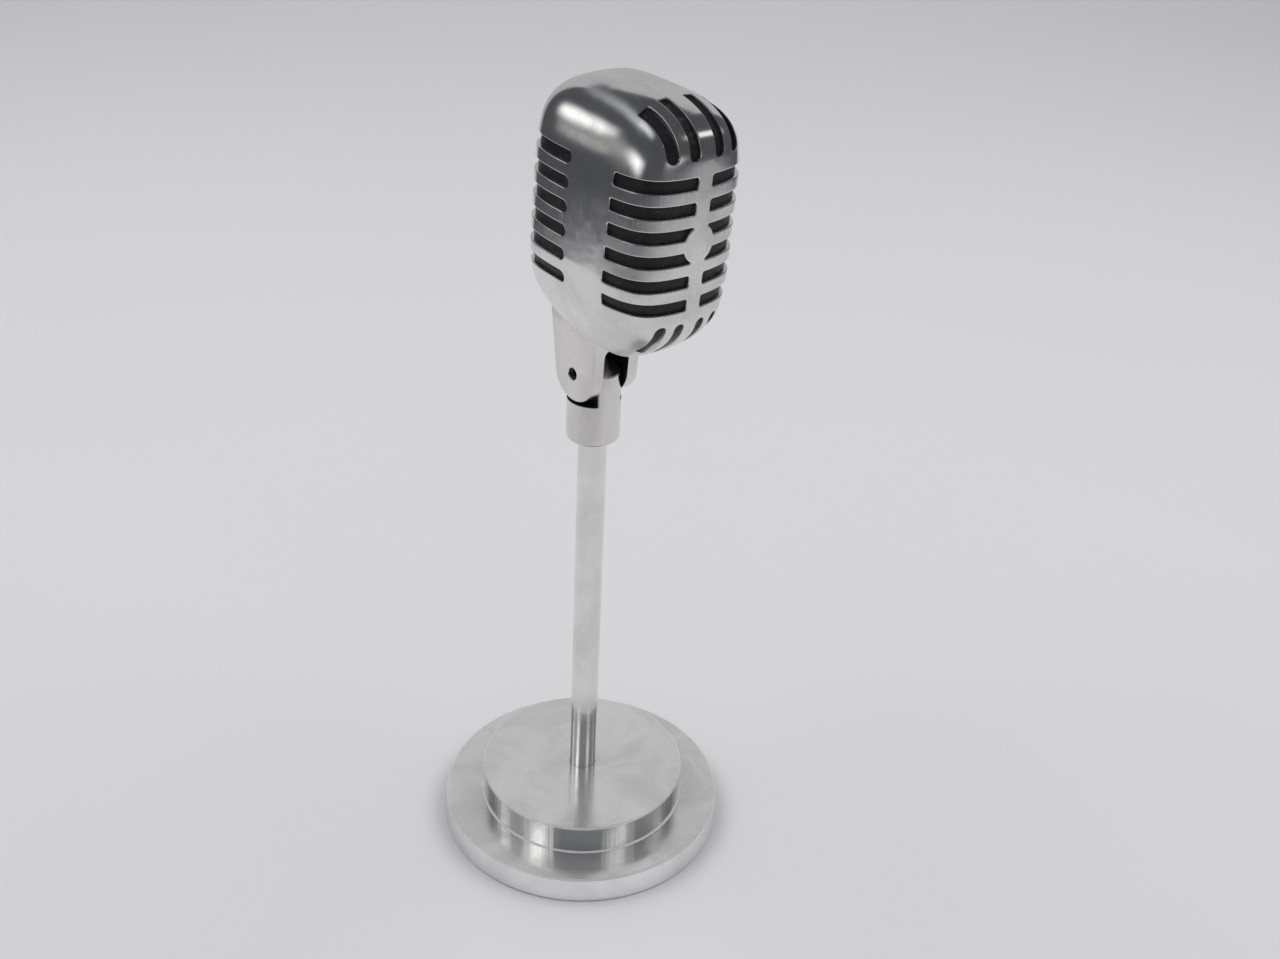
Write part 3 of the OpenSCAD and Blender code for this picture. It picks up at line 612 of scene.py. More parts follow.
# Solids made beside the casing
def corner_arc(points, radii, steps=7):
    """Corners of a closed anticlockwise outline, rounded: rows of (point, normal before, normal after)."""
    heading = lambda a: np.array([cos(a), sin(a)])
    out = []
    for i, r in enumerate(radii):
        a, p, b = (np.array(points[k], float) for k in (i - 1, i, (i + 1) % len(points)))
        ta, tb = unit(p - a), unit(b - p)
        aa, ab = atan2(-ta[0], ta[1]), atan2(-tb[0], tb[1])
        if r == 0:
            out.append((p, heading(aa), heading(ab)))
            continue
        turn = (ab - aa + pi) % (2 * pi) - pi
        side = 1 if turn > 0 else -1
        centre = p + unit(tb - ta) * r / cos(turn / 2)
        for u in np.linspace(0, 1, steps):
            n = heading(aa + u * turn)
            out.append((centre + side * r * n, n, n))
    return out


def turned_object(name, points, radii, seg, unit_size=MM):
    """A solid of revolution round Z from its half outline of (radius, height)."""
    sh, rows = Shell(), corner_arc(points, radii)
    th = np.linspace(0, 2 * pi, seg, endpoint=False)[:, None]
    wheel = lambda v: np.concatenate([np.cos(th) * v[0], np.sin(th) * v[0], 0 * th + v[1]], -1)
    ids = [sh.add(wheel(p)) for p, _, _ in rows]
    for i, (p, _, after) in enumerate(rows):
        j = (i + 1) % len(rows)
        q, before, _ = rows[j]
        if max(p[0], q[0]) > 1e-9:
            sh.strip(ids[j], ids[i], wheel(before), wheel(after))
    return shell_object(name, sh, lambda v: v * unit_size, lambda n: n)


def arc(centre, r, a0, a1, count):
    a = np.radians(np.linspace(a0, a1, count))
    return [(centre[0] + r * cos(t), centre[1] + r * sin(t)) for t in a]


def prism(outline, lo, hi, along):
    """A solid from a closed outline, swept from lo to hi along x, y or z."""
    o, n = np.array(outline, float), len(outline)
    ends = [np.insert(o, "xyz".index(along), h, axis=1) for h in (lo, hi)]
    faces = [list(range(n)), list(range(2 * n - 1, n - 1, -1))]
    faces += [(i, n + i, n + (i + 1) % n, (i + 1) % n) for i in range(n)]
    return closed_mesh(np.concatenate(ends), faces)


def rod_tool(centre, r, lo, hi, along, end=350, count=36):
    """A round cutter; its outline runs from 0 to end degrees in count points."""
    return prism(arc(centre, r, 0, end, count), lo, hi, along)


def closed_mesh(verts, faces):
    mesh = bpy.data.meshes.new("tool")
    mesh.from_pydata(np.asarray(verts).tolist(), [], faces)
    bm = bmesh.new()
    bm.from_mesh(mesh)
    bmesh.ops.recalc_face_normals(bm, faces=bm.faces)
    bm.to_mesh(mesh)
    bm.free()
    return link("tool", mesh)


def carve(obj, operation, tools):
    """Applies Boolean modifiers one after the other and removes the tools."""
    for t in tools:
        mod = obj.modifiers.new("cut", "BOOLEAN")
        mod.operation, mod.object, mod.solver = operation, t, "EXACT"
    done = bpy.data.meshes.new_from_object(obj.evaluated_get(bpy.context.evaluated_depsgraph_get()))
    obj.modifiers.clear()
    obj.data = done
    for t in tools:
        bpy.data.objects.remove(t)


def finish_carved(obj, name, matrix, edge):
    """Puts the carved solid in its place, in metres, with rounded edges and flat faces kept flat."""
    obj.name = obj.data.name = name
    obj.data.transform(matrix)
    obj.data.polygons.foreach_set("use_smooth", [True] * len(obj.data.polygons))
    mod = obj.modifiers.new("edges", "BEVEL")
    mod.width, mod.segments, mod.limit_method, mod.angle_limit = edge * MM, 3, "ANGLE", radians(32)
    mod.use_clamp_overlap, mod.miter_outer = False, "MITER_ARC"
    obj.modifiers.new("flat_faces", "WEIGHTED_NORMAL").weight = 100
    return obj


TO_KNUCKLE = Matrix.Translation((0, 0, PIVOT_Z * MM)) @ Matrix.Scale(MM, 4)
TO_HEAD = TO_KNUCKLE @ Matrix.Rotation(HEAD_TILT, 4, "X")


def make_base_disc():
    """The wide lower disc, with its stem hole, the room for the nut and the recess for the pad."""
    outline = [(PLATE_R, PAD_LOW), (PLATE_R - PLATE_TAPER, PLATE_TOP), (SPIGOT_HOLE_R, PLATE_TOP),
               (SPIGOT_HOLE_R, NUT_ROOM_TOP), (NUT_ROOM_R, NUT_ROOM_TOP), (NUT_ROOM_R, PAD_TOP),
               (PAD_R, PAD_TOP), (PAD_R, PAD_LOW)]
    return turned_object("base_disc", outline, [0.3, 0.9, 0, 0, 0, 0, 0, 0], 256)


def make_base_step():
    """The upper disc with the stem's seat; a small fillet runs round its foot."""
    foot = PLATE_TOP + STEP_LIFT
    outline = [(STEP_R + STEP_FOOT, foot), (STEP_R, foot), (STEP_R, STEP_TOP), (STEM_SEAT_R, STEP_TOP),
               (STEM_SEAT_R, STEM_SEAT), (SPIGOT_HOLE_R, STEM_SEAT), (SPIGOT_HOLE_R, PLATE_TOP)]
    return turned_object("base_step", outline, [0, 0.6, 0.7, 0.12, 0, 0, 0], 256)


def make_stem():
    """The rod with its spigot below and the groove for the knuckle's set screw above."""
    low, high = GROOVE_Z - GROOVE_HALF, GROOVE_Z + GROOVE_HALF
    outline = [(0, SPIGOT_LOW), (SPIGOT_R, SPIGOT_LOW), (SPIGOT_R, STEM_SEAT), (STEM_R, STEM_SEAT),
               (STEM_R, low), (GROOVE_R, low), (GROOVE_R, high), (STEM_R, high),
               (STEM_R, STEM_TOP), (0, STEM_TOP)]
    return turned_object("stem_rod", outline, [0, 0.3, 0, 0, 0, 0, 0, 0, 0.4, 0], 96)


def make_knuckle():
    """Turned body cut to a tongue with a round boss and two ledges, its origin on the pivot."""
    outline = [(0, -KNUCKLE_DROP), (KNUCKLE_R, -KNUCKLE_DROP), (KNUCKLE_R, 10), (0, 10)]
    body = turned_object("knuckle_body", outline, [0, 1.6, 0, 0], 160, 1)
    reach = hypot(KNUCKLE_R, TONGUE_SHOULDER)
    a = degrees(atan2(TONGUE_SHOULDER, KNUCKLE_R) + acos(TONGUE_BOSS_R / reach))
    half, low = KNUCKLE_R + 0.01, -31
    side = [(-half, low), (half, low), (half, TONGUE_SHOULDER)]
    side += arc((0, 0), TONGUE_BOSS_R, a, 180 - a, 41) + [(-half, TONGUE_SHOULDER)]
    carve(body, "INTERSECT", [prism(side, -12, 12, "x")])
    beside = lambda x0, x1: prism([(x0, -20), (x1, -20), (x1, 20), (x0, 20)], -LEDGE_DROP, 20, "z")
    carve(body, "DIFFERENCE", [
        beside(TONGUE_HALF, 20), beside(-20, -TONGUE_HALF),
        rod_tool((0, 0), STEM_BORE_R, low, -BORE_DROP, "z", 354, 60),
        rod_tool((0, 0), PIN_BORE_R, -12, 12, "x"),
        rod_tool((0, -SET_SCREW_DROP), 2, 4.7, 12, "y")])
    return finish_carved(body, "knuckle_cast", TO_KNUCKLE, 0.35)


def band_faces(seg, levels):
    """Quads between rings of seg points that lie one over the other."""
    return [(i * seg + j, i * seg + (j + 1) % seg, (i + 1) * seg + (j + 1) % seg, (i + 1) * seg + j)
            for i in range(levels - 1) for j in range(seg)]


def lower_casing(seg=160, levels=60):
    """The casing's lower part as a closed solid, in the head's frame, to cut the yoke's seat."""
    phi = np.linspace(0, 2 * pi, seg, endpoint=False)
    rise = (46 - LAND_Z) * np.linspace(0, 1, levels) ** 1.2
    rows = [point(phi, np.full(seg, z)) + [0, HEAD_Y, HEAD_BASE] for z in LAND_Z + rise]
    ends = [list(range(seg))[::-1], list(range((levels - 1) * seg, levels * seg))]
    return closed_mesh(np.concatenate(rows), band_faces(seg, levels) + ends)


def make_yoke():
    """Forked arm under the head: round ends, a rear edge that leans back and a seat cut to the casing."""
    dy, dz = EAR_REAR[0] - EAR_Y, EAR_REAR[1]
    a = degrees(atan2(dz, dy) - acos(EAR_R / hypot(dy, dz)))
    side = arc((EAR_Y, 0), EAR_R, 180, 360 + a, 81)
    side += [EAR_REAR, (EAR_REAR[0], YOKE_TOP), (EAR_FRONT, YOKE_TOP)]
    body = prism(side, -FORK_HALF, FORK_HALF, "x")
    r, x, z = FORK_CORNER, GAP_HALF - FORK_CORNER, FORK_TOP - FORK_CORNER
    gap = [(-GAP_HALF, -40), (GAP_HALF, -40)]
    gap += arc((x, z), r, 0, 90, 13) + arc((-x, z), r, 90, 180, 13)
    cuts = [prism(gap, -40, 40, "y"), rod_tool((0, 0), PIN_R, -20, 20, "x"), lower_casing()]
    for y in YOKE_SCREW_Y:
        cuts.append(rod_tool((0, y + HEAD_Y), SCREW_HOLE_R, 0, 40, "z", 345, 24))
        cuts.append(rod_tool((0, y + HEAD_Y), HEAD_HOLE_R, 0, HEAD_BASE + 5, "z", 345, 24))
    carve(body, "DIFFERENCE", cuts)
    return finish_carved(body, "yoke_cast", TO_HEAD, 0.45)


def make_liner(name, front):
    """Thin black lining that shows as the floor of the slots, on one side of the seam."""
    phi = np.linspace(-pi, pi, 241)[:-1]
    rows = []
    for z in heights(LAND_Z + 3.2, 60, 70)[:-1]:
        level = np.full(phi.shape, z)
        rows.append(point(phi, level) - FLOOR_DEPTH * normal(phi, level))
    seg, levels = len(phi), len(rows)
    verts = np.concatenate(rows + [np.array([[0, 0, HEAD_H - FLOOR_DEPTH]])])
    faces = band_faces(seg, levels)
    last = (levels - 1) * seg
    faces += [(last + j, last + (j + 1) % seg, levels * seg) for j in range(seg)]
    obj = closed_mesh(verts, faces)
    bm = bmesh.new()
    bm.from_mesh(obj.data)
    side = 1 if front else -1
    bmesh.ops.bisect_plane(bm, geom=bm.verts[:] + bm.edges[:] + bm.faces[:], clear_outer=True,
                           plane_co=(0, SEAM_Y - 2.7 * side, 0), plane_no=(0, side, 0))
    if not front:
        # room for the cable outlet
        near = []
        for f in bm.faces:
            v = np.array(f.calc_center_median()) - OUTLET_AT
            along = np.dot(v, OUTLET_AXIS)
            if np.linalg.norm(v - along * OUTLET_AXIS) < OUTLET_R + 2.4 and along > -8:
                near.append(f)
        bmesh.ops.delete(bm, geom=near, context="FACES")
    bm.to_mesh(obj.data)
    bm.free()
    obj.data.transform(TO_HEAD @ Matrix.Translation((0, HEAD_Y, HEAD_BASE)))
    obj.data.polygons.foreach_set("use_smooth", [True] * len(obj.data.polygons))
    mod = obj.modifiers.new("thickness", "SOLIDIFY")
    mod.thickness, mod.offset = FLOOR_T * MM, -1
    obj.name = obj.data.name = name
    return obj


base_plate = belongs(make_base_disc(), "stand", "base_plate")
base_riser = belongs(make_base_step(), "stand", "base_riser")
stem = belongs(make_stem(), "stand", "stem")
knuckle = belongs(make_knuckle(), "knuckle", "knuckle")
yoke = belongs(make_yoke(), "head", "yoke")
front_liner = belongs(make_liner("front_liner", True), "head", "front_screen")
rear_liner = belongs(make_liner("rear_liner", False), "head", "rear_screen")


# Materials
class Paint:
    """A node material on one Principled shader, with short calls for its textures."""

    def __init__(self, name, metallic=0.0):
        self.m = bpy.data.materials.new(name)
        self.m.use_nodes = True
        self.tree = self.m.node_tree
        self.shader = self.tree.nodes["Principled BSDF"]
        self.shader.inputs["Metallic"].default_value = metallic
        self.at = self.tree.nodes.new("ShaderNodeTexCoord").outputs["Object"]

    def put(self, value, socket):
        if isinstance(value, bpy.types.NodeSocket):
            self.tree.links.new(value, socket)
        else:
            socket.default_value = value

    def finish(self, colour, rough, normal=None, **inputs):
        inputs.update(Base_Color=colour, Roughness=rough)
        if normal is not None:
            inputs["Normal"] = normal
        for key, value in inputs.items():
            self.put(value, self.shader.inputs[key.replace("_", " ")])
        return self.m

    def node(self, kind, inputs, output, **settings):
        """Adds a node, sets or links its inputs and returns one of its outputs."""
        node = self.tree.nodes.new("ShaderNode" + kind)
        for key, value in settings.items():
            setattr(node, key, value)
        for key, value in inputs.items():
            self.put(value, node.inputs[key])
        return node.outputs[output]

    def noise(self, scale, detail=4.0, rough=0.55, stretch=(1, 1, 1), warp=0.0):
        at = self.node("Mapping", {"Vector": self.at, "Scale": stretch}, "Vector")
        return self.node("TexNoise", {"Vector": at, "Scale": scale, "Detail": detail, "Roughness": rough,
                                      "Distortion": warp}, "Fac")

    def cells(self, scale):
        return self.node("TexVoronoi", {"Vector": self.at, "Scale": scale}, "Distance")

    def layers(self, scale, warp):
        return self.node("TexWave", {"Vector": self.at, "Scale": scale, "Distortion": warp}, "Fac",
                         bands_direction="Z")

    def range(self, fac, lo, hi, a=0.0, b=1.0):
        """A smooth step from a, where fac is lo, to b, where it is hi."""
        return self.node("MapRange", {"Value": fac, "From Min": lo, "From Max": hi, "To Min": a, "To Max": b},
                         "Result", interpolation_type="SMOOTHSTEP")

    def math(self, kind, a, b):
        return self.node("Math", {0: a, 1: b}, 0, operation=kind)

    def times(self, a, b):
        return self.math("MULTIPLY", a, b)

    def plus(self, a, b):
        return self.math("ADD", a, b)

    def mix(self, fac, a, b):
        a, b = ((*c, 1) if isinstance(c, tuple) else c for c in (a, b))
        return self.node("Mix", {"Factor": fac, 6: a, 7: b}, 2, data_type="RGBA")

    def axis(self, k):
        return self.node("SeparateXYZ", {0: self.at}, k)

    def over_z(self, lo, hi, a=0.0, b=1.0):
        """From a at height lo to b at height hi, in mm."""
        return self.range(self.axis(2), lo * MM, hi * MM, a, b)

    def off_middle(self, lo, hi, a=0.0, b=1.0):
        """From a at lo to b at hi, in mm to either side of the middle plane."""
        return self.range(self.math("ABSOLUTE", self.axis(0), 0), lo * MM, hi * MM, a, b)

    def bump(self, height, strength, distance, below=None):
        inputs = {"Height": height, "Strength": strength, "Distance": distance}
        if below is not None:
            inputs["Normal"] = below
        return self.node("Bump", inputs, "Normal")


def darker(tint, share):
    return tuple(share * c for c in tint)


def aluminium(name, gloss, pits, scratches, streak, tint, wavy,
              front_satin=False, painted_shade=None, edges=(), fluted=False):
    """Hand-polished cast aluminium: mottled colour, uneven gloss, hairline scratches and small pits.

    gloss: roughness of the bright and the dull clouds; streak: stretch of the hairlines; wavy:
    unevenness; front_satin: the head's duller front and underside; grime: a function giving the places
    darkened with painted shade; edges: worn edges as (low, high, share), in mm; fluted: facets round a disc's
    wall.
    """
    p = Paint(name, 1.0)
    cloud, fine = p.noise(38, 6, 0.6, warp=0.6), p.noise(700, 3, 0.6)
    hair = p.noise(2600, 2, 0.5, streak)
    cross = p.noise(1900, 2, 0.5, (streak[2], streak[0], streak[1]))
    pit = p.range(p.cells(420), 0.05, 0.11, 1.0, 0.0)
    pit = p.times(pit, p.range(p.noise(55, 3), 0.56 - 0.1 * pits, 0.70))
    dull = p.range(cloud, 0.38, 0.66)
    colour = p.mix(dull, tint, darker(tint, 0.88))
    colour = p.mix(p.range(fine, 0.55, 0.8, 0.0, 0.25), colour, darker(tint, 0.70))
    colour = p.mix(p.times(pit, 0.75), colour, (0.16, 0.155, 0.15))
    rough = p.range(cloud, 0.30, 0.70, gloss[0], gloss[1])
    rough = p.plus(rough, p.range(hair, 0.5, 0.8, 0.0, 0.10 * scratches))
    rough = p.plus(rough, p.times(pit, 0.3))
    metal = p.math("SUBTRACT", 1.0, p.times(pit, 0.2))
    if front_satin:
        low = p.over_z(238, 272, 0.13, 0.0)
        front = p.range(p.axis(1), -0.052, -0.036, 0.10, 0.0)
        top = p.over_z(296, 308, 1.0, 0.15)
        rough = p.plus(rough, p.math("MAXIMUM", low, p.times(front, top)))
    # painted shade: near-black colour where the mask marks places that lie in shadow
    if painted_shade is not None:
        dark = painted_shade(p)
        colour = p.mix(dark, colour, (0.030, 0.029, 0.029))
        rough = p.plus(rough, p.times(dark, 0.3))
    for lo, hi, share in edges:
        fade = 0.06
        worn = p.times(p.over_z(lo - fade, lo + fade, 0.0, share), p.over_z(hi - fade, hi + fade, 1.0, 0.0))
        rough = p.plus(rough, p.times(worn, 0.4))
        metal = p.times(metal, p.math("SUBTRACT", 1.0, worn))
    skin = p.bump(p.noise(75, 2, 0.4), wavy, 0.0006)
    if fluted:
        # tool facets round the disc's wall, none on its top
        wall = p.over_z(STEP_TOP - 0.8, STEP_TOP - 0.2, 1.0, 0.0)
        skin = p.bump(p.times(p.noise(150, 3, 0.6, (1, 1, 0.01)), wall), 0.5, 0.0005, skin)
    skin = p.bump(hair, 0.10 * scratches, 0.00004, skin)
    skin = p.bump(cross, 0.06 * scratches, 0.00004, skin)
    skin = p.bump(pit, 0.35, -0.00015, skin)
    return p.finish(colour, rough, skin, Metallic=metal)


def black_paint(name):
    """Brushed-on black paint in the slots: semi-gloss with grain and grey rubs."""
    p = Paint(name)
    grain, rub = p.noise(900, 5, 0.65), p.noise(260, 6, 0.7, (1, 1, 2))
    colour = p.mix(p.range(rub, 0.52, 0.78), (0.014, 0.0135, 0.015), (0.060, 0.058, 0.058))
    return p.finish(colour, p.range(grain, 0.35, 0.7, 0.30, 0.55), p.bump(grain, 0.5, 0.00012),
                    Specular_IOR_Level=0.35)


def plain_metal(name, tint, rough, streak=(1, 1, 1), stain=None):
    """Machined metal of an inner part: turning marks, slight staining and uneven gloss."""
    p = Paint(name, 1.0)
    mark, cloud = p.noise(1500, 3, 0.6, streak), p.noise(160, 5, 0.6)
    colour = p.mix(p.range(cloud, 0.4, 0.7), tint, stain or darker(tint, 0.72))
    gloss = p.plus(p.range(mark, 0.3, 0.7, rough, rough + 0.15), p.range(cloud, 0.5, 0.8, 0.0, 0.12))
    return p.finish(colour, gloss, p.bump(mark, 0.2, 0.00005))


def copper_wire(name):
    """Close turns of varnished copper wire."""
    p = Paint(name, 0.85)
    turns = p.layers(900, 0.4)
    colour = p.mix(p.noise(300, 4), (0.62, 0.27, 0.12), (0.42, 0.16, 0.07))
    return p.finish(p.mix(turns, colour, (0.16, 0.06, 0.03)), p.range(turns, 0, 1, 0.28, 0.5),
                    p.bump(turns, 0.5, 0.0002))


def cloth(name, light, dark):
    """Pressed felt: short fibres in all directions."""
    p = Paint(name)
    fibre, fluff = p.noise(2400, 3, 0.7, (1, 0.25, 1), 1.5), p.noise(240, 5, 0.7)
    colour = p.mix(p.times(fibre, fluff), dark, light)
    return p.finish(colour, p.range(fibre, 0, 1, 0.85, 1.0), p.bump(fibre, 0.8, 0.0003),
                    Sheen_Weight=0.35, Sheen_Roughness=0.5)


def board(name, light, dark):
    """Vulcanised fibre or laminated board: faint layers, dull and slightly mottled."""
    p = Paint(name)
    layer, cloud = p.layers(1400, 2.0), p.noise(350, 5, 0.65)
    return p.finish(p.mix(p.times(layer, cloud), dark, light), p.range(cloud, 0.3, 0.7, 0.55, 0.75),
                    p.bump(cloud, 0.3, 0.0001))


def soft_rubber(name):
    """Matt black rubber with a fine moulded grain and grey bloom."""
    p = Paint(name)
    grain, bloom = p.noise(1800, 3, 0.6), p.noise(120, 5, 0.6)
    colour = p.mix(p.range(bloom, 0.4, 0.75), (0.018, 0.018, 0.018), (0.06, 0.06, 0.058))
    return p.finish(colour, p.range(grain, 0.3, 0.7, 0.6, 0.85), p.bump(grain, 0.4, 0.0001))


def shade_in_fork(p):
    """Painted shade on the inner faces of the fork's ears, where the gap between them lies in shadow."""
    return p.times(p.off_middle(GAP_HALF + 0.03, GAP_HALF + 0.25, 1.0, 0.0),
                   p.over_z(PIVOT_Z + 7.5, PIVOT_Z + 10, 1.0, 0.0))


def shade_on_ledge(p):
    """Painted shade on the tongue's sides and on the ledges beside it, which lie in shadow under the fork."""
    ledge = PIVOT_Z - LEDGE_DROP
    place = p.times(p.off_middle(TONGUE_HALF - 0.15, TONGUE_HALF - 0.03),
                    p.over_z(ledge - 0.35, ledge - 0.05))
    return p.times(place, p.range(p.noise(300, 4), 0.2, 0.5, 0.75, 1.0))


BRIGHT = (0.90, 0.90, 0.89)
casting = aluminium("polished_casting", (0.12, 0.21), 0.15, 0.8, (1, 1, 0.05), (0.81, 0.803, 0.79), 0.22,
                    front_satin=True)
disc = aluminium("polished_disc", (0.06, 0.14), 0.35, 0.4, (1, 1, 0.2), BRIGHT, 0.12,
                 edges=((23.35, 23.99, 0.5), (10.8, 11.42, 0.8)), fluted=True)
plate = aluminium("satin_plate", (0.10, 0.20), 0.25, 0.4, (1, 1, 0.2), BRIGHT, 0.15,
                  edges=((9.95, 10.785, 0.5),))
rod = aluminium("satin_rod", (0.09, 0.20), 0.45, 0.6, (1, 1, 0.04), (0.85, 0.845, 0.825), 0.10)
# painted shade on the inner faces of the fork's ears
fork_cast = aluminium("satin_casting", (0.16, 0.28), 0.9, 0.15, (1, 1, 0.5), (0.81, 0.80, 0.785), 0.30,
                      painted_shade=shade_in_fork)
# painted shade on the tongue's sides and ledges
tongue_cast = aluminium("satin_tongue", (0.14, 0.24), 0.9, 0.25, (0.06, 0.06, 1), (0.76, 0.75, 0.735), 0.2,
                        painted_shade=shade_on_ledge)
paint = black_paint("slot_paint")
LOOKS = {"satin_aluminium": plate, "polished_disc": disc, "polished_casting": casting, "screen_black": paint}
for name, make, *values in (
        ("felt", cloth, (0.16, 0.17, 0.17), (0.06, 0.065, 0.065)),
        ("dark_steel", plain_metal, (0.075, 0.075, 0.08), 0.35),
        ("steel", plain_metal, (0.50, 0.50, 0.51), 0.28, (1, 1, 0.2)),
        ("fibre", board, (0.20, 0.10, 0.045), (0.10, 0.045, 0.02)),
        ("brass", plain_metal, (0.66, 0.50, 0.20), 0.25, (1, 1, 0.3), (0.40, 0.28, 0.10)),
        ("rubber", soft_rubber),
        ("housing_aluminium", plain_metal, (0.62, 0.62, 0.62), 0.34),
        ("magnet_alloy", plain_metal, (0.22, 0.22, 0.23), 0.45),
        ("copper_winding", copper_wire),
        ("diaphragm_foil", plain_metal, (0.70, 0.71, 0.73), 0.22)):
    LOOKS[name] = make(name, *values)
for obj, look in ((front_casing, casting), (rear_casing, casting), (base_plate, plate), (base_riser, disc),
                  (stem, rod), (knuckle, tongue_cast), (yoke, fork_cast), (front_liner, paint),
                  (rear_liner, paint)):
    obj.data.materials.clear()
    obj.data.materials.append(look)
SLOT_OF = {part["node"]: part["material_slot"] for part in frame["record"]["subparts"]}
for name, obj in frame["nodes"].items():
    look = LOOKS[SLOT_OF[name]]
    if not obj.data.materials:
        obj.data.materials.append(look)
    for k in range(len(obj.data.materials)):
        obj.data.materials[k] = look

# Floor, camera and light stand in the photograph's frame: x to the right, y away from the camera, z up
HEAD_AZ = radians(41.69)
around = Matrix.Rotation(-HEAD_AZ, 4, "Z")


def staged(name, mesh, look, in_view=False):
    """Floor, or a thing that only the gloss sees."""
    obj = link(name, mesh)
    obj.matrix_world = around
    obj.data.materials.append(look)
    if not in_view:
        obj.visible_camera = obj.visible_diffuse = obj.visible_shadow = obj.visible_transmission = False


def sheet_mesh(name, mid, across, up):
    """A flat sheet from its middle, half its width and half its height."""
    corners = ((-1, -1), (1, -1), (1, 1), (-1, 1))
    mesh = bpy.data.meshes.new(name)
    mesh.from_pydata([tuple(mid + x * across + y * up) for x, y in corners], [], [(0, 1, 2, 3)])
    uv = mesh.uv_layers.new(name="sheet")
    for k, (x, y) in enumerate(corners):
        uv.data[k].uv = ((x + 1) / 2, (y + 1) / 2)
    return mesh


def floor_paper(name):
    """Pale backdrop paper, matt and almost even."""
    p = Paint(name)
    colour = p.mix(p.noise(3, 3), (0.700, 0.692, 0.705), (0.720, 0.712, 0.725))
    return p.finish(colour, p.range(p.noise(300), 0, 1, 0.85, 1.0), Specular_IOR_Level=0.15)


FLOOR_HALF = 8
floor = sheet_mesh("floor", Vector((0, 0, 0)), Vector((FLOOR_HALF, 0, 0)), Vector((0, FLOOR_HALF, 0)))
staged("floor", floor, floor_paper("floor_paper"), True)

# The camera, in metres and degrees, with its focal length in pixels of the photograph's width
DISTANCE, ELEVATION, FOCAL_PX, PHOTO_W = 651.42 * MM, radians(42.469), 1399.5, 1280
PAN, TILT, ROLL = radians(-2.041), radians(12.934), radians(-1.359)
spot = Vector((0, -DISTANCE * cos(ELEVATION), DISTANCE * sin(ELEVATION)))
ahead = -spot.normalized()
view = [Vector((1, 0, 0)), Vector((1, 0, 0)).cross(ahead), ahead]
for angle, k in ((PAN, 1), (TILT, 0), (ROLL, 2)):
    turn = Matrix.Rotation(angle, 3, view[k].copy())
    view = [turn @ v for v in view]
cam = link("camera", bpy.data.cameras.new("camera"))
turn = Matrix((view[0], view[1], -view[2])).transposed().to_4x4()
cam.matrix_world = around @ Matrix.Translation(spot) @ turn
cam.data.sensor_width = 36
cam.data.lens = FOCAL_PX / PHOTO_W * cam.data.sensor_width
cam.data.clip_start, cam.data.clip_end = 0.01, 50
bpy.context.scene.camera = cam

world = bpy.data.worlds.new("studio")
bpy.context.scene.world = world
world.use_nodes = True
sky = world.node_tree.nodes["Background"].inputs
sky["Color"].default_value, sky["Strength"].default_value = (0.97, 0.97, 1, 1), 0.5


def soft_light(name, at, size, power, aim=(0, 0.1, 0.05)):
    """A soft area light for the floor and shadows; the gloss comes from the panels below."""
    light = bpy.data.lights.new(name, "AREA")
    light.shape, light.size, light.size_y, light.energy = "RECTANGLE", size[0], size[1], power
    obj = link(name, light)
    turn = (Vector(aim) - Vector(at)).to_track_quat("-Z", "Y").to_matrix().to_4x4()
    obj.matrix_world = around @ Matrix.Translation(at) @ turn
    obj.visible_glossy = False


soft_light("key", (-0.9, 0.2, 1.5), (1.4, 1.0), 9)
soft_light("fill", (0.9, 0.2, 1.5), (1.4, 1.0), 9)
soft_light("far", (0.1, 2.4, 1.6), (2.6, 1.0), 5, (0.1, 2.3, 0))

# What the polished metal mirrors: a dark room beyond the paper, open to the pale backdrop, with softboxes
EYE = Vector((0, -0.02, 0.27))


def way(az, el):
    """Direction in the photograph's frame: az from straight back to the right, el above the horizon."""
    a, e = radians(az), radians(el)
    return Vector((sin(a) * cos(e), cos(a) * cos(e), sin(e)))


def glow(name, colour, strength, soft=0.0):
    """Light of one colour; with soft above 0 it fades over that share of the sheet's half width."""
    p = Paint(name)
    p.tree.nodes.remove(p.shader)
    end = p.node("Emission", {"Color": (*colour, 1), "Strength": strength}, 0)
    if soft > 0:
        uv, fades = p.node("TexCoord", {}, "UV"), []
        for k in (0, 1):
            fold = p.math("PINGPONG", p.node("SeparateXYZ", {0: uv}, k), 0.5)
            fades.append(p.range(fold, 0, 0.5 * soft))
        end = p.node("MixShader", {0: p.times(*fades), 1: p.node("BsdfTransparent", {}, 0), 2: end}, 0)
    p.put(end, p.tree.nodes["Material Output"].inputs["Surface"])
    return p.m


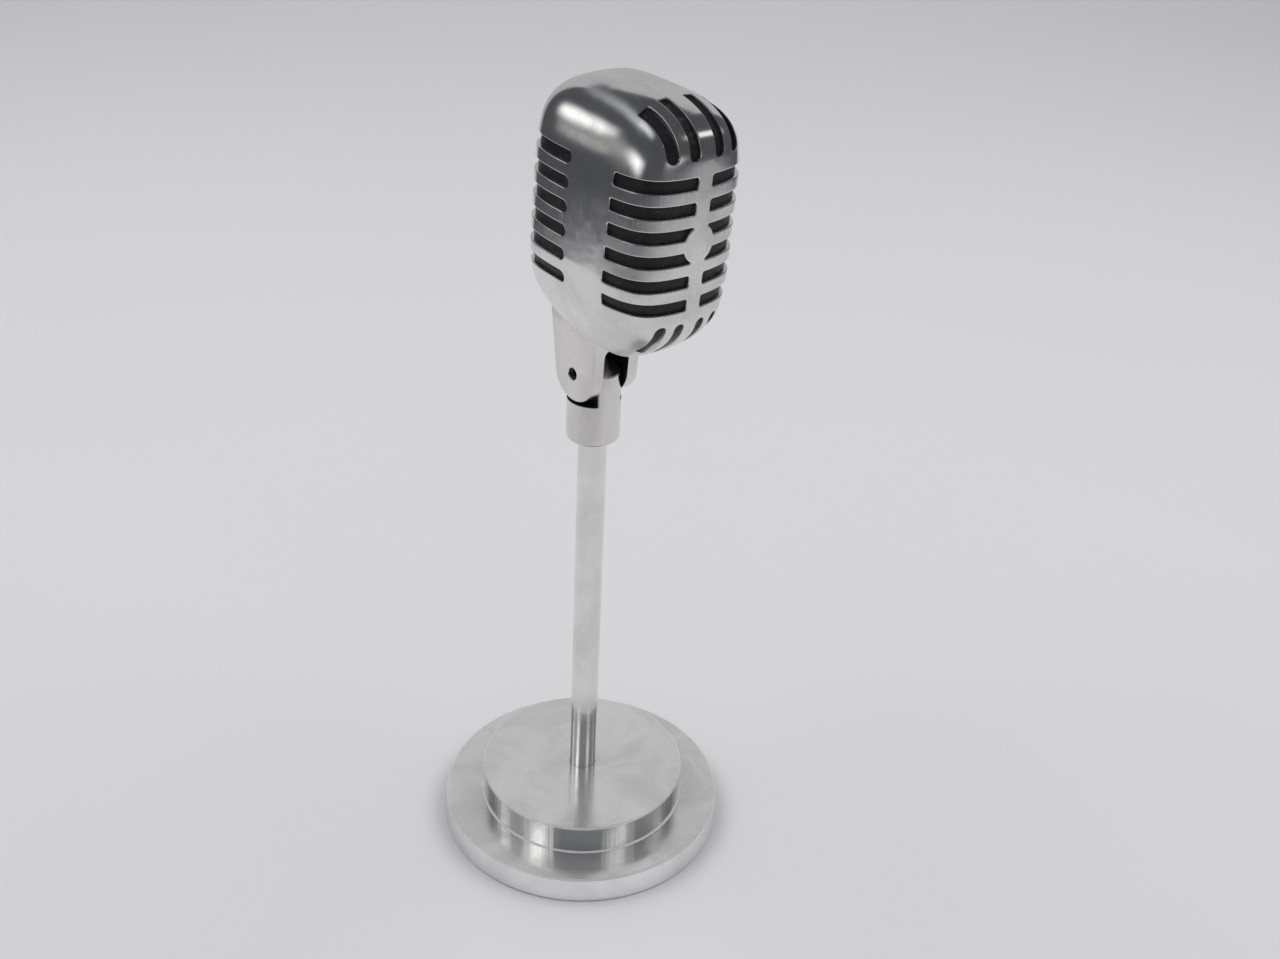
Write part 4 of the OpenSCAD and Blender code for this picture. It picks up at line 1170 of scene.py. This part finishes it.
def room():
    """Dark walls and ceiling round the head, nearer in front, with a door to the backdrop behind."""
    door_left, door_right, door_top = -40, 44, 47
    azs = list(range(-180, 180, 6))
    els = [-40, -30, -26, -22, -18, -10, 0, 10, 20, 30, 40, door_top, 54, 62, 70, 80, 90]
    verts, faces, levels = [], [], len(els)
    for az in azs:
        a = radians(az)
        side = 0.78 + 0.07 * sin(a) - 0.2 * max(0.0, -cos(a))
        for el in els:
            v = EYE + side * way(az, el) / max(0.55, cos(radians(el)))
            verts.append((v.x, v.y, max(v.z, 0.0005)))
    for i, az in enumerate(azs):
        this, after = i * levels, (i + 1) % len(azs) * levels
        for j in range(levels - 1):
            if not (door_left < az + 3 < door_right and els[j] < door_top):
                faces.append((this + j, after + j, after + j + 1, this + j + 1))
    mesh = bpy.data.meshes.new("dark_room")
    mesh.from_pydata(verts, [], faces)
    staged("dark_room", mesh, glow("room_shade", (0.93, 0.97, 1.08), 0.085))


def panel(name, az, el, wide, high, lean, strength, colour=(1, 1, 1), soft=0.5, reach=0.6):
    """A softbox seen from the head at az and el; wide and high in degrees, lean turned about its middle."""
    mid = EYE + way(az, el) * reach
    back = (EYE - mid).normalized()
    side = Vector((0, 0, 1)).cross(back).normalized()
    top = back.cross(side)
    c, s = cos(radians(lean)), sin(radians(lean))
    side, top = c * side + s * top, c * top - s * side
    w, h = reach * tan(radians(wide / 2)), reach * tan(radians(high / 2))
    staged(name, sheet_mesh(name, mid, w * side, h * top), glow(name, colour, strength, soft))


room()
panel("box_left", -80, 28, 26, 22, -12, 1.8, soft=1.0)
panel("spill_left", -97, 20, 62, 30, 20, 0.34, soft=1.0)
panel("strip_left", -86, 13, 18, 11, 0, 0.45, soft=0.5)
panel("lamp_front_left", -129, 15, 56, 22, 24, 1.6, soft=0.95, reach=0.40)
panel("box_right", 88, 34, 40, 12, 30, 1.1, soft=0.5)
panel("lamp_front_right", 134, 1, 42, 15, 10, 1.0, soft=0.8, reach=0.30)
panel("box_high_left", -110, 62, 50, 16, 0, 0.9, (0.93, 0.97, 1.05), soft=0.7)
panel("sky_left", -70, 56, 60, 15, -4, 0.50, (0.92, 0.98, 1.06), soft=1.0)
bpy.context.scene.view_settings.view_transform = "Standard"
